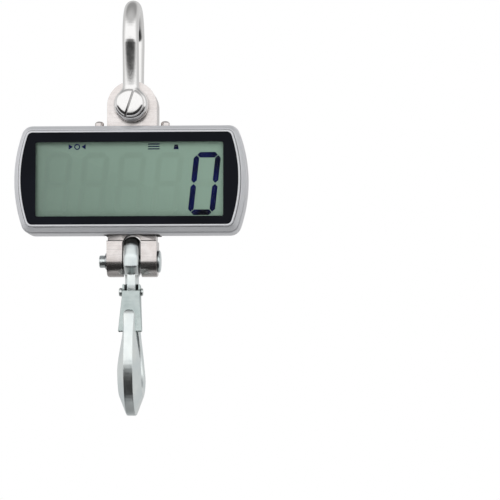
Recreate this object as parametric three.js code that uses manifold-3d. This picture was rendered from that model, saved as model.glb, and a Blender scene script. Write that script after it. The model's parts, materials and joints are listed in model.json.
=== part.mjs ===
// A hanging crane scale: a bow shackle, a load cell that runs through a display housing,
// and an eye hook with a safety latch. Millimetres, X right, Y to the rear, Z up.
// The origin is the inside of the shackle's bow at its top, where the scale hangs.
import * as THREE from "three";
import { mergeVertices } from "three/addons/utils/BufferGeometryUtils.js";
import Module from "manifold-3d";

const wasm = await Module();
wasm.setup();

const RIGHT_ANGLE = Math.PI / 2;
const FIT = 0.3; // gap between pieces that meet
const SIDES = [-1, 1];

// Shackle
const BAR_R = 6.5;
const BOW_R = 26; // middle of the bar
const BOW_Z = BAR_R - BOW_R;
const SHACKLE_PIN_Z = -73.9;
const EYE_R = 13.8; // at its belly
const EYE_END_R = 11.8;
const EYE_INNER_Y = 13.4;
const EYE_OUTER_Y = 26.4;
const SHACKLE_PIN_R = 6;
const PIN_HEAD_R = 11.2;
const PIN_HEAD_T = 7.6;
const PIN_DOME_T = 2.8;
const PIN_SLOT_HALF = 1.1;
const PIN_SLOT_DEPTH = 2.2;
const PIN_SLOT_LEAN = THREE.MathUtils.degToRad(18);

// Load cell
const PIN_SPACING = 124.1;
const HOOK_PIN_Z = SHACKLE_PIN_Z - PIN_SPACING;
const CELL_HALF_W = 20;
const CELL_HALF_T = 12.5;
const NECK_HALF_W = 19.2;
const NECK_HALF_T = 10;
const NECK_BOTTOM = HOOK_PIN_Z + 16;
const NECK_TOP = HOOK_PIN_Z + 30;
const FORK_SLOT_HALF = 7.4;
const FORK_SLOT_TOP = 22.5; // above the hook pin
const HOOK_PIN_R = 5;
const GAUGE_R = 10.5;
const GAUGE_COVER_R = 12;
const GAUGE_COVER_T = 1.5;

// Housing
const HOUSING_Z = SHACKLE_PIN_Z - 60.4;
const HOUSING_HALF_W = 93;
const HOUSING_HALF_H = 43.2;
const SIDE_R = 114.5; // bow of the left and right sides
const CORNER_R = 9;
const LIP_FRONT_Y = -34;
const BAND_FRONT_Y = -33.4;
const BAND_INSET = 4.8;
const BAND_DEPTH = 8.4;
const WINDOW_INSET = 6.4;
const BEZEL_REAR_Y = -25.3;
const REAR_FRONT_Y = -23.9;
const REAR_Y = 34;
const REAR_WALL = 5.4;
const WALL = 2.5;
const TAPER_Y = -15;
const CELL_HOLE_HALF_W = 22.3;
const CELL_HOLE_HALF_T = 14.8;
const CASE_SCREW_X = 81;
const CASE_SCREW_Z = 31.5;
const CASE_BOSS_R = 5.2;
const BEZEL_BOSS_R = 4.4;
const CASE_SCREW_R = 1.5;
const CASE_HEAD_R = 2.8;
const CASE_SEAT_Y = -12;
const CASE_SCREW_TIP_Y = -28.5;
const BEZEL_FLOOR_Y = -29;
const REAR_HALF_H = 31;
const REAR_HALF_W = 84;
const TOP_SCREW_X = 26.5;
const TOP_SCREW_Y = -8;
const TOP_SCREW_R = 2;
const TOP_HEAD_R = 3.6;
const TOP_HEAD_T = 5;
const BRACKET_T = 2;
const BRACKET_TOP_Z = HOUSING_Z + HOUSING_HALF_H - 5;
const BRACKET_BOLT_Z = BRACKET_TOP_Z - 14;
const BRACKET_REAR_Y = -0.5;
const BRACKET_BOLT_Y = -6.5;
const BRACKET_BOLT_R = 2;
const BRACKET_BOLT_END = 10;

// Display
const WINDOW_FRONT_Y = -33.6;
const WINDOW_SEAT_Y = -31;
const BOARD_T = 1.6;
const BOARD_SCREW_R = 1.2;
const BOARD_SCREW_TIP_Y = -25.6;
const LEAD_R = 1.3;
const LEAD_Y = -8;
const LEAD_PLUG_X = -34;
const LEAD_PLUG_T = 5;
const OPENING_HALF_W = 77;
const OPENING_HALF_H = 32;
const LCD_HALF_W = 76;
const LCD_HALF_H = 31.2;
const BOARD_HALF_W = 72;
const BOARD_HALF_H = 30.5;
const BOARD_REAR_Y = -20.7;
const BOARD_SCREW_X = 68;
const BOARD_SCREW_Z = 26;

// Battery compartment and power button
const TRAY_Y = 13.2;
const BOOT_R = 6.1;
const BUTTON_TRAVEL = 1.5;
const DOOR_SCREW_R = 1.5;
const DOOR_HEAD_R = 2.7;
const DOOR_HALF_W = 61.6;
const DOOR_HALF_H = 21;
const DOOR_FRONT_Y = 31.9;
const LEDGE_Y = 30.6;
const HATCH_HALF_W = 54.5;
const HATCH_HALF_H = 17.5;
const CELL_R = 7.1;
const CELL_LENGTH = 49.6;
const CELL_PITCH = 16;
const CELL_Y = 22.2;
const DOOR_SCREW_X = 58.1;
const BUTTON_X = 68.8;
const BUTTON_R = 4.6;

// Hook pin
const HOOK_PIN_HEAD_R = 8.8;
const HOOK_PIN_HEAD_T = 2.6;
const HOOK_PIN_TAIL = 26.8;
const CLIP_X = 20.5;
const CLIP_T = 1.2;
const CLIP_R = 6.8;
const CLIP_GROOVE_R = 4.2;

// Hook and latch, measured from the hook pin
const HOOK_HANG = THREE.MathUtils.degToRad(-2.65);
const HOOK_EYE_R = 20;
const HOOK_X = -0.3; // the eye stands near the fork's left ear
const HOOK_EYE_HALF = 6.2;
const BOWL_Z = -85.2;
const BOWL_R = 17;
const HOOK_OUTER_R = 36.15;
const HOOK_OUTER_Y = 2; // middle of the outer arc, which also lies this far below the bowl's
const HOOK_NECK_HALF = 4.8;
const HOOK_HALF_W = 9.6;
const RIVET_Y = -3.5;
const RIVET_Z = -25;
const RIVET_R = 2.25;
const LATCH_T = 1.5;
const LATCH_TOP_HALF = 8.4;
const LATCH_END_HALF = 10.6;
const LATCH_TOP_Z = -19;
const LATCH_FLARE_Z = -30;
const LATCH_END_Z = -58;
const SPRING_WIRE_R = 0.25;

// Turns a closed geometry into a solid that can be joined and cut.
function solid(shape) {
  if (!shape.isBufferGeometry) return shape;
  const bare = shape.clone();
  bare.deleteAttribute("normal");
  bare.deleteAttribute("uv");
  const merged = mergeVertices(bare);
  const vertProperties = merged.attributes.position.array;
  const triVerts = new Uint32Array(merged.index.array);
  return new wasm.Manifold(new wasm.Mesh({ numProp: 3, vertProperties, triVerts }));
}

const join = (first, ...others) => others.reduce((body, next) => body.add(solid(next)), solid(first));
const cut = (first, ...others) => others.reduce((body, next) => body.subtract(solid(next)), solid(first));
const common = (first, ...others) => others.reduce((body, next) => body.intersect(solid(next)), solid(first));

function geometryOf(shape) {
  if (shape.isBufferGeometry) return shape;
  const { vertProperties, triVerts } = shape.getMesh();
  const geometry = new THREE.BufferGeometry();
  geometry.setAttribute("position", new THREE.Float32BufferAttribute(vertProperties, 3));
  geometry.setIndex(new THREE.Uint32BufferAttribute(triVerts, 1));
  const faceted = geometry.toNonIndexed();
  faceted.computeVertexNormals();
  return faceted;
}

function box([x0, x1], [y0, y1], [z0, z1]) {
  const geometry = new THREE.BoxGeometry(x1 - x0, y1 - y0, z1 - z0);
  return geometry.translate((x0 + x1) / 2, (y0 + y1) / 2, (z0 + z1) / 2);
}

// Points a shape that was made along Y along another axis.
function point(geometry, axis) {
  if (axis === "x") geometry.rotateZ(-RIGHT_ANGLE);
  if (axis === "z") geometry.rotateX(RIGHT_ANGLE);
  return geometry;
}

function rod(axis, radius, [from, to], [x, y, z], sides = 24) {
  const geometry = new THREE.CylinderGeometry(radius, radius, to - from, sides);
  return point(geometry.translate(0, (from + to) / 2, 0), axis).translate(x, y, z);
}

// A turned shape. The profile's points are radius and place along the axis, in rising order.
function turned(axis, profile, [x, y, z], sides = 24) {
  const points = profile.map(([radius, along]) => new THREE.Vector2(radius, along));
  return point(new THREE.LatheGeometry(points, sides), axis).translate(x, y, z);
}

function extrusion(shape, [from, to], bevel, curveSegments) {
  const options = { depth: to - from - 2 * bevel, curveSegments, bevelEnabled: bevel > 0 };
  Object.assign(options, { bevelThickness: bevel, bevelSize: bevel, bevelOffset: -bevel, bevelSegments: 1 });
  return new THREE.ExtrudeGeometry(shape, options).translate(0, 0, from + bevel);
}

// A range on the right, or its mirror image on the left.
function sided(side, [near, far]) {
  return side > 0 ? [near, far] : [-far, -near];
}

// A turned profile, mirrored along its axis.
function mirrored(profile) {
  return profile.map(([radius, along]) => [radius, -along]).reverse();
}

// Extrusions of an outline drawn in X and Z, in Y and Z, and in Y and X.
function alongY(shape, [y0, y1], bevel = 0, curveSegments = 3) {
  return extrusion(shape, [-y1, -y0], bevel, curveSegments).rotateX(RIGHT_ANGLE);
}

function alongX(shape, range, bevel = 0, curveSegments = 3) {
  return extrusion(shape, range, bevel, curveSegments).rotateZ(RIGHT_ANGLE).rotateY(RIGHT_ANGLE);
}

function alongZ(shape, [z0, z1]) {
  return alongX(shape, [-z1, -z0]).rotateY(RIGHT_ANGLE);
}

function rectangle(halfW, halfH, corner = 0) {
  const shape = new THREE.Shape();
  if (corner === 0) {
    shape.moveTo(-halfW, -halfH).lineTo(halfW, -halfH).lineTo(halfW, halfH).lineTo(-halfW, halfH);
    return shape;
  }
  const x = halfW - corner;
  const z = halfH - corner;
  shape.absarc(x, z, corner, 0, RIGHT_ANGLE);
  shape.absarc(-x, z, corner, RIGHT_ANGLE, 2 * RIGHT_ANGLE);
  shape.absarc(-x, -z, corner, 2 * RIGHT_ANGLE, 3 * RIGHT_ANGLE);
  shape.absarc(x, -z, corner, 3 * RIGHT_ANGLE, 4 * RIGHT_ANGLE);
  return shape;
}

// ---- Shackle ----

function bowPath() {
  const legY = (EYE_INNER_Y + EYE_OUTER_Y) / 2;
  const leg = [
    [legY, SHACKLE_PIN_Z + BAR_R],
    [legY + 0.6, SHACKLE_PIN_Z + 20],
    [legY + 3.2, SHACKLE_PIN_Z + 36],
  ];
  const arc = [];
  for (let step = -1; step <= 13; step += 1) {
    const angle = (step / 12) * Math.PI;
    arc.push(new THREE.Vector3(0, -BOW_R * Math.cos(angle), BOW_Z + BOW_R * Math.sin(angle)));
  }
  const front = leg.map(([y, z]) => new THREE.Vector3(0, -y, z));
  const rear = leg.map(([y, z]) => new THREE.Vector3(0, y, z)).reverse();
  return new THREE.CatmullRomCurve3([...front, ...arc, ...rear]);
}

function shackleBow() {
  const section = new THREE.Shape().absarc(0, 0, BAR_R, 0, 2 * Math.PI);
  const bar = new THREE.ExtrudeGeometry(section, { steps: 34, curveSegments: 6, extrudePath: bowPath() });
  const middleY = (EYE_INNER_Y + EYE_OUTER_Y) / 2;
  const profile = [
    [0, -EYE_OUTER_Y],
    [EYE_END_R, -EYE_OUTER_Y],
    [EYE_R - 0.6, -middleY - 3],
    [EYE_R, -middleY],
    [EYE_R - 0.6, -EYE_INNER_Y],
    [EYE_R - 0.6, EYE_INNER_Y],
    [EYE_R, middleY],
    [EYE_R - 0.6, middleY + 3],
    [EYE_END_R, EYE_OUTER_Y],
    [0, EYE_OUTER_Y],
  ];
  const eyes = turned("y", profile, [0, 0, SHACKLE_PIN_Z]);
  const jawZ = [SHACKLE_PIN_Z - EYE_R - 1, SHACKLE_PIN_Z + EYE_R + 1];
  const jaw = box([-EYE_R - 1, EYE_R + 1], [-EYE_INNER_Y, EYE_INNER_Y], jawZ);
  const boreR = SHACKLE_PIN_R + FIT;
  const bore = rod("y", boreR, [-EYE_OUTER_Y - 1, EYE_OUTER_Y + 1], [0, 0, SHACKLE_PIN_Z]);
  return cut(join(bar, eyes), jaw, bore);
}

// The pin has a low domed head with a screwdriver slot, which leans to one side.
function shacklePin() {
  const headY = -EYE_OUTER_Y - FIT;
  const crownY = headY - PIN_HEAD_T;
  const profile = [
    [0, crownY],
    [PIN_HEAD_R * 0.45, crownY + PIN_DOME_T * 0.11],
    [PIN_HEAD_R * 0.8, crownY + PIN_DOME_T * 0.46],
    [PIN_HEAD_R, crownY + PIN_DOME_T],
    [PIN_HEAD_R, headY - 0.6],
    [PIN_HEAD_R - 0.6, headY],
    [SHACKLE_PIN_R, headY],
    [SHACKLE_PIN_R, EYE_OUTER_Y + 0.5],
    [SHACKLE_PIN_R - 1, EYE_OUTER_Y + 1.5],
    [0, EYE_OUTER_Y + 1.5],
  ];
  const pin = turned("y", profile, [0, 0, 0]);
  const across = [-PIN_HEAD_R - 1, PIN_HEAD_R + 1];
  const slot = box([-PIN_SLOT_HALF, PIN_SLOT_HALF], [crownY - 1, crownY + PIN_SLOT_DEPTH], across);
  const body = cut(pin, slot.rotateY(PIN_SLOT_LEAN));
  return geometryOf(body).translate(0, 0, SHACKLE_PIN_Z);
}

// ---- Load cell ----

function cellFront() {
  const slotArcZ = HOOK_PIN_Z + FORK_SLOT_TOP - FORK_SLOT_HALF;
  const bottom = HOOK_PIN_Z - CELL_HALF_T;
  const shape = new THREE.Shape();
  shape.absarc(0, SHACKLE_PIN_Z, CELL_HALF_W, 0, Math.PI);
  shape.lineTo(-CELL_HALF_W, NECK_TOP);
  shape.lineTo(-NECK_HALF_W, NECK_TOP);
  shape.lineTo(-NECK_HALF_W, NECK_BOTTOM);
  shape.lineTo(-CELL_HALF_W, NECK_BOTTOM);
  shape.lineTo(-CELL_HALF_W, bottom);
  shape.lineTo(-FORK_SLOT_HALF, bottom);
  shape.absarc(0, slotArcZ, FORK_SLOT_HALF, Math.PI, 0, true);
  shape.lineTo(FORK_SLOT_HALF, bottom);
  shape.lineTo(CELL_HALF_W, bottom);
  shape.lineTo(CELL_HALF_W, NECK_BOTTOM);
  shape.lineTo(NECK_HALF_W, NECK_BOTTOM);
  shape.lineTo(NECK_HALF_W, NECK_TOP);
  shape.lineTo(CELL_HALF_W, NECK_TOP);
  shape.holes.push(new THREE.Path().absarc(0, SHACKLE_PIN_Z, SHACKLE_PIN_R + FIT, 0, 2 * Math.PI));
  return shape;
}

function cellSide() {
  const top = SHACKLE_PIN_Z + CELL_HALF_W + 1;
  const shape = new THREE.Shape();
  shape.absarc(0, HOOK_PIN_Z, CELL_HALF_T, Math.PI, 2 * Math.PI);
  shape.lineTo(CELL_HALF_T, NECK_BOTTOM);
  shape.lineTo(NECK_HALF_T, NECK_BOTTOM);
  shape.lineTo(NECK_HALF_T, NECK_TOP);
  shape.lineTo(CELL_HALF_T, NECK_TOP);
  shape.lineTo(CELL_HALF_T, top);
  shape.lineTo(-CELL_HALF_T, top);
  shape.lineTo(-CELL_HALF_T, NECK_TOP);
  shape.lineTo(-NECK_HALF_T, NECK_TOP);
  shape.lineTo(-NECK_HALF_T, NECK_BOTTOM);
  shape.lineTo(-CELL_HALF_T, NECK_BOTTOM);
  return shape;
}

function loadCell() {
  const front = alongY(cellFront(), [-CELL_HALF_T, CELL_HALF_T], 0.6, 7);
  const side = alongX(cellSide(), [-CELL_HALF_W - 1, CELL_HALF_W + 1], 0, 6);
  const pinBore = rod("x", HOOK_PIN_R + FIT, [-CELL_HALF_W - 1, CELL_HALF_W + 1], [0, 0, HOOK_PIN_Z]);
  const cuts = [pinBore];
  for (const side of SIDES) {
    const face = side * CELL_HALF_T;
    const rim = side * (CELL_HALF_T - GAUGE_COVER_T - FIT);
    const floor = side * (CELL_HALF_T - 7);
    const seat = [Math.min(rim, face + side), Math.max(rim, face + side)];
    const pocket = [Math.min(floor, face + side), Math.max(floor, face + side)];
    cuts.push(rod("y", GAUGE_COVER_R + FIT, seat, [0, 0, HOUSING_Z]));
    cuts.push(rod("y", GAUGE_R, pocket, [0, 0, HOUSING_Z]));
    const bolt = side < 0 ? [-CELL_HALF_W - 1, -BRACKET_BOLT_END] : [BRACKET_BOLT_END, CELL_HALF_W + 1];
    cuts.push(rod("x", BRACKET_BOLT_R + FIT, bolt, [0, BRACKET_BOLT_Y, BRACKET_BOLT_Z], 16));
  }
  const gaugeLead = rod("x", LEAD_R + 0.5, [-CELL_HALF_W - 1, 0], [0, LEAD_Y, HOUSING_Z], 12);
  return cut(common(front, side), ...cuts, gaugeLead);
}

function gaugeCover(side) {
  const face = side * CELL_HALF_T;
  const back = side * (CELL_HALF_T - GAUGE_COVER_T);
  return rod("y", GAUGE_COVER_R, [Math.min(face, back), Math.max(face, back)], [0, 0, HOUSING_Z]);
}

function leadPlug() {
  const seat = BOARD_REAR_Y + FIT;
  return box([LEAD_PLUG_X - 4, LEAD_PLUG_X + 4], [seat, seat + LEAD_PLUG_T], [HOUSING_Z - 3, HOUSING_Z + 3]);
}

// The lead leaves the gauge pocket, comes out of the cell's side and turns forward to the board.
function cellLead() {
  const points = [
    [-13, LEAD_Y],
    [-21, LEAD_Y],
    [-27, LEAD_Y - 0.6],
    [-32, LEAD_Y - 3],
    [LEAD_PLUG_X, LEAD_Y - 7],
    [LEAD_PLUG_X, BOARD_REAR_Y + FIT + LEAD_PLUG_T + FIT],
  ];
  const path = new THREE.CatmullRomCurve3(points.map(([x, y]) => new THREE.Vector3(x, y, HOUSING_Z)));
  const section = new THREE.Shape().absarc(0, 0, LEAD_R, 0, 2 * Math.PI);
  return new THREE.ExtrudeGeometry(section, { steps: 16, curveSegments: 4, extrudePath: path });
}

// ---- Housing ----

// The housing's front outline, or one that lies a given distance inside it.
function housingOutline(inset) {
  const sideX = HOUSING_HALF_W - SIDE_R;
  const cornerZ = HOUSING_HALF_H - CORNER_R;
  const reach = SIDE_R - CORNER_R;
  const cornerX = sideX + Math.sqrt(reach ** 2 - cornerZ ** 2);
  const turn = Math.asin(cornerZ / reach);
  const corner = CORNER_R - inset;
  const shape = new THREE.Shape();
  shape.absarc(sideX, 0, SIDE_R - inset, -turn, turn);
  shape.absarc(cornerX, cornerZ, corner, turn, RIGHT_ANGLE);
  shape.absarc(-cornerX, cornerZ, corner, RIGHT_ANGLE, 2 * RIGHT_ANGLE - turn);
  shape.absarc(-sideX, 0, SIDE_R - inset, 2 * RIGHT_ANGLE - turn, 2 * RIGHT_ANGLE + turn);
  shape.absarc(-cornerX, -cornerZ, corner, 2 * RIGHT_ANGLE + turn, 3 * RIGHT_ANGLE);
  shape.absarc(cornerX, -cornerZ, corner, 3 * RIGHT_ANGLE, 4 * RIGHT_ANGLE - turn);
  return shape;
}

const housingBlock = (inset, range) => alongY(housingOutline(inset), range).translate(0, 0, HOUSING_Z);

function cornerRods(radius, range, sides = 16) {
  const rods = [];
  for (const x of [-CASE_SCREW_X, CASE_SCREW_X]) {
    for (const z of [-CASE_SCREW_Z, CASE_SCREW_Z]) {
      rods.push(rod("y", radius, range, [x, 0, HOUSING_Z + z], sides));
    }
  }
  return rods;
}

function frontBezel() {
  const slab = housingOutline(BAND_INSET);
  const options = { depth: 20, curveSegments: 3, bevelSegments: 1 };
  Object.assign(options, { bevelThickness: BAND_DEPTH, bevelSize: BAND_INSET });
  const band = new THREE.ExtrudeGeometry(slab, options).rotateX(RIGHT_ANGLE);
  band.translate(0, BAND_FRONT_Y + BAND_DEPTH + 20, HOUSING_Z);
  const behind = box([-100, 100], [BEZEL_REAR_Y, 60], [HOUSING_Z - 60, HOUSING_Z + 60]);
  const lip = housingBlock(BAND_INSET + 0.2, [LIP_FRONT_Y, BAND_FRONT_Y + 1]);
  const recess = housingBlock(WINDOW_INSET, [LIP_FRONT_Y - 1, WINDOW_SEAT_Y]);
  const through = alongY(rectangle(OPENING_HALF_W, OPENING_HALF_H), [LIP_FRONT_Y, 0]);
  const opening = through.translate(0, 0, HOUSING_Z);
  const hollow = housingBlock(BAND_INSET + 0.6, [BEZEL_FLOOR_Y, 0]);
  const bosses = cornerRods(BEZEL_BOSS_R, [BEZEL_FLOOR_Y - 1, BEZEL_REAR_Y]);
  const holes = cornerRods(CASE_SCREW_R + FIT, [CASE_SCREW_TIP_Y - FIT, 0], 12);
  const shell = cut(join(band, lip), behind, recess, opening, hollow);
  return cut(join(shell, ...bosses.map((boss) => common(boss, cut(band, behind)))), ...holes);
}

// Half of the housing's height or width against depth: level at first, then rounding in.
function taperedSide(halfFront, halfRear, yFront, yRear) {
  const round = 6;
  const shape = new THREE.Shape();
  shape.moveTo(yFront, -halfFront);
  shape.lineTo(TAPER_Y, -halfFront);
  shape.bezierCurveTo(2, -halfFront, yRear - 14, -halfRear - 4, yRear - round, -halfRear);
  shape.quadraticCurveTo(yRear, -halfRear + 3, yRear, -halfRear + round + 3);
  shape.lineTo(yRear, halfRear - round - 3);
  shape.quadraticCurveTo(yRear, halfRear - 3, yRear - round, halfRear);
  shape.bezierCurveTo(yRear - 14, halfRear + 4, 2, halfFront, TAPER_Y, halfFront);
  shape.lineTo(yFront, halfFront);
  return shape;
}

function rearBlock(inset, yFront, yRear) {
  const front = housingBlock(inset, [yFront, yRear]);
  const heights = taperedSide(HOUSING_HALF_H - inset, REAR_HALF_H - inset, yFront - 1, yRear);
  const widths = taperedSide(HOUSING_HALF_W - inset, REAR_HALF_W - inset, yFront - 1, yRear);
  const side = alongX(heights, [-100, 100]).translate(0, 0, HOUSING_Z);
  const plan = alongZ(widths, [HOUSING_Z - 60, HOUSING_Z + 60]);
  return common(front, side, plan);
}

function rearHousing() {
  const outer = rearBlock(0, REAR_FRONT_Y, REAR_Y);
  const inner = rearBlock(WALL, REAR_FRONT_Y - 2, REAR_Y - REAR_WALL);
  const bosses = cornerRods(CASE_BOSS_R, [REAR_FRONT_Y, REAR_Y]).map((boss) => common(boss, outer));
  const cellHole = alongZ(rectangle(CELL_HOLE_HALF_T, CELL_HOLE_HALF_W), [HOUSING_Z - 60, HOUSING_Z + 60]);
  const doorSeat = alongY(rectangle(DOOR_HALF_W + FIT, DOOR_HALF_H + FIT, 3), [LEDGE_Y, REAR_Y + 1]);
  const hatch = alongY(rectangle(HATCH_HALF_W, HATCH_HALF_H, 1), [0, REAR_Y]);
  const cuts = [
    cellHole,
    ...cornerRods(CASE_SCREW_R + FIT, [REAR_FRONT_Y - 1, REAR_Y], 12),
    ...cornerRods(CASE_HEAD_R + 0.8, [CASE_SEAT_Y, REAR_Y + 1]),
    doorSeat.translate(0, 0, HOUSING_Z),
    hatch.translate(0, 0, HOUSING_Z),
    rod("y", BUTTON_R + FIT, [0, REAR_Y + 1], [BUTTON_X, 0, HOUSING_Z], 24),
    rod("y", BOOT_R + FIT, [REAR_Y - 1.3, REAR_Y + 1], [BUTTON_X, 0, HOUSING_Z], 24),
  ];
  for (const side of SIDES) {
    const x = side * TOP_SCREW_X;
    cuts.push(rod("z", TOP_SCREW_R + FIT, [HOUSING_Z, HOUSING_Z + 60], [x, TOP_SCREW_Y, 0], 16));
    cuts.push(rod("y", DOOR_SCREW_R + FIT, [0, REAR_Y], [side * DOOR_SCREW_X, 0, HOUSING_Z], 12));
  }
  return cut(join(cut(outer, inner), ...bosses), ...cuts);
}

function ring(outerShape, innerShape, range) {
  return cut(alongY(outerShape, range), alongY(innerShape, [range[0] - 1, range[1] + 1]));
}

function caseGasket() {
  const y = [BEZEL_REAR_Y + FIT, REAR_FRONT_Y - FIT];
  const body = ring(housingOutline(0.8), housingOutline(2.4), y);
  return geometryOf(body).translate(0, 0, HOUSING_Z);
}

function caseScrew(x, z) {
  const profile = [
    [0, CASE_SCREW_TIP_Y],
    [CASE_SCREW_R, CASE_SCREW_TIP_Y],
    [CASE_SCREW_R, CASE_SEAT_Y + FIT],
    [CASE_HEAD_R, CASE_SEAT_Y + FIT],
    [CASE_HEAD_R, CASE_SEAT_Y + 2],
    [CASE_HEAD_R * 0.7, CASE_SEAT_Y + 2.7],
    [0, CASE_SEAT_Y + 2.7],
  ];
  return turned("y", profile, [x, 0, z], 12);
}

// A rubber collar round the load cell, in the housing's wall.
function cellSeal(innerW, innerT, range) {
  const outer = rectangle(CELL_HOLE_HALF_T - FIT, CELL_HOLE_HALF_W - FIT);
  return cut(alongZ(outer, range), alongZ(rectangle(innerT, innerW), [range[0] - 1, range[1] + 1]));
}

// ---- Display ----

function windowPanel() {
  return housingBlock(WINDOW_INSET + FIT, [WINDOW_FRONT_Y, WINDOW_SEAT_Y - FIT]);
}

function lcdPanel() {
  const z = [HOUSING_Z - LCD_HALF_H, HOUSING_Z + LCD_HALF_H];
  return box([-LCD_HALF_W, LCD_HALF_W], [WINDOW_SEAT_Y, WINDOW_SEAT_Y + 2.8], z);
}

function boardCorners(radius, range, sides) {
  const rods = [];
  for (const x of [-BOARD_SCREW_X, BOARD_SCREW_X]) {
    for (const z of [-BOARD_SCREW_Z, BOARD_SCREW_Z]) {
      rods.push(rod("y", radius, range, [x, 0, HOUSING_Z + z], sides));
    }
  }
  return rods;
}

function lcdCarrier() {
  const front = WINDOW_SEAT_Y + 2.8 + FIT;
  const z = [HOUSING_Z - LCD_HALF_H, HOUSING_Z + LCD_HALF_H];
  const plate = box([-LCD_HALF_W, LCD_HALF_W], [front, front + 3], z);
  const posts = boardCorners(3.2, [front + 1, BOARD_REAR_Y - BOARD_T - FIT], 16);
  const holes = boardCorners(BOARD_SCREW_R + FIT, [BOARD_SCREW_TIP_Y - FIT, 0], 10);
  return cut(join(plate, ...posts), ...holes);
}

function lcdConnector() {
  const front = WINDOW_SEAT_Y + 2.8 + FIT + 3 + FIT;
  const z = HOUSING_Z - LCD_HALF_H + 1.5;
  return box([-60, 60], [front, BOARD_REAR_Y - BOARD_T - FIT], [z - 1.2, z + 1.2]);
}

function mainBoard() {
  const z = [HOUSING_Z - BOARD_HALF_H, HOUSING_Z + BOARD_HALF_H];
  const plate = box([-BOARD_HALF_W, BOARD_HALF_W], [BOARD_REAR_Y - BOARD_T, BOARD_REAR_Y], z);
  const chip = box([-14, 2], [BOARD_REAR_Y - 0.5, BOARD_REAR_Y + 1.6], [HOUSING_Z + 14, HOUSING_Z + 26]);
  const holes = boardCorners(BOARD_SCREW_R + FIT, [BOARD_REAR_Y - 5, BOARD_REAR_Y + 1], 10);
  return cut(join(plate, chip), ...holes);
}

function boardScrew(x, z) {
  const seat = BOARD_REAR_Y + FIT;
  const profile = [
    [0, BOARD_SCREW_TIP_Y],
    [BOARD_SCREW_R, BOARD_SCREW_TIP_Y],
    [BOARD_SCREW_R, seat],
    [2.3, seat],
    [2.3, seat + 1.2],
    [0, seat + 1.7],
  ];
  return turned("y", profile, [x, 0, z], 8);
}

function receiverModule() {
  const seat = BOARD_REAR_Y + FIT;
  const plate = box([36, 60], [seat, seat + 1.2], [HOUSING_Z + 2, HOUSING_Z + 18]);
  const chip = box([40, 50], [seat + 1, seat + 2.6], [HOUSING_Z + 6, HOUSING_Z + 14]);
  return join(plate, chip);
}

// A short coil aerial on the receiver, as a wound tube.
function antenna() {
  const turns = 5;
  const steps = turns * 7;
  const points = [];
  for (let step = 0; step <= steps; step += 1) {
    const angle = (step / 7) * 2 * Math.PI;
    const x = 38 + (20 * step) / steps;
    const y = BOARD_REAR_Y + 3.6 + 2.2 * Math.cos(angle);
    points.push(new THREE.Vector3(x, y, HOUSING_Z + 23 + 2.2 * Math.sin(angle)));
  }
  const section = new THREE.Shape().absarc(0, 0, 0.5, 0, 2 * Math.PI);
  const path = new THREE.CatmullRomCurve3(points);
  return new THREE.ExtrudeGeometry(section, { steps, curveSegments: 2, extrudePath: path });
}

function buzzer() {
  const seat = BOARD_REAR_Y + FIT;
  const profile = [
    [0, seat],
    [6, seat],
    [6, seat + 5.6],
    [1.2, seat + 5.6],
    [1.2, seat + 4.6],
    [0, seat + 4.6],
  ];
  return turned("y", profile, [-50, 0, HOUSING_Z + 14], 20);
}

// ---- Bracket that holds the housing on the load cell ----

function bracket(side) {
  const wide = [-CELL_HALF_T, BRACKET_REAR_Y];
  const foot = sided(side, [CELL_HALF_W + FIT, CELL_HALF_W + FIT + BRACKET_T]);
  const reach = sided(side, [CELL_HALF_W + FIT, TOP_SCREW_X + 6.5]);
  const upright = box(foot, wide, [BRACKET_BOLT_Z - 7, BRACKET_TOP_Z]);
  const shelf = box(reach, wide, [BRACKET_TOP_Z - BRACKET_T, BRACKET_TOP_Z]);
  const boltAt = [0, BRACKET_BOLT_Y, BRACKET_BOLT_Z];
  const boltHole = rod("x", BRACKET_BOLT_R + FIT, sided(side, [15, 40]), boltAt, 16);
  const screwAt = [side * TOP_SCREW_X, TOP_SCREW_Y, 0];
  const screwHole = rod("z", TOP_SCREW_R + FIT, [BRACKET_TOP_Z - 10, BRACKET_TOP_Z + 10], screwAt, 16);
  return cut(join(upright, shelf), boltHole, screwHole);
}

function bracketBolt(side) {
  const seat = CELL_HALF_W + FIT + BRACKET_T + FIT;
  const at = [0, BRACKET_BOLT_Y, BRACKET_BOLT_Z];
  const shank = rod("x", BRACKET_BOLT_R, sided(side, [BRACKET_BOLT_END + FIT, seat + 1]), at, 16);
  const head = rod("x", 4, sided(side, [seat, seat + 2.8]), at, 6);
  return join(shank, head);
}

function topScrew(side) {
  const seat = HOUSING_Z + HOUSING_HALF_H + FIT;
  const profile = [
    [0, BRACKET_TOP_Z - 7],
    [TOP_SCREW_R, BRACKET_TOP_Z - 7],
    [TOP_SCREW_R, seat],
    [TOP_HEAD_R, seat],
    [TOP_HEAD_R, seat + TOP_HEAD_T * 0.6],
    [TOP_HEAD_R * 0.85, seat + TOP_HEAD_T * 0.84],
    [TOP_HEAD_R * 0.5, seat + TOP_HEAD_T * 0.96],
    [0, seat + TOP_HEAD_T],
  ];
  return turned("z", profile, [side * TOP_SCREW_X, TOP_SCREW_Y, 0], 20);
}

function topNut(side) {
  const z = [BRACKET_TOP_Z - BRACKET_T - FIT - 3, BRACKET_TOP_Z - BRACKET_T - FIT];
  const at = [side * TOP_SCREW_X, TOP_SCREW_Y, 0];
  return cut(rod("z", 4, z, at, 6), rod("z", TOP_SCREW_R + FIT, [z[0] - 1, z[1] + 1], at, 16));
}

// ---- Battery compartment ----

function batteryTray() {
  const outer = box([-53.9, 53.9], [TRAY_Y, 28], [HOUSING_Z - 16.9, HOUSING_Z + 16.9]);
  const inner = box([-52.7, 52.7], [TRAY_Y + 1.2, 40], [HOUSING_Z - 15.7, HOUSING_Z + 15.7]);
  return cut(outer, inner);
}

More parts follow.
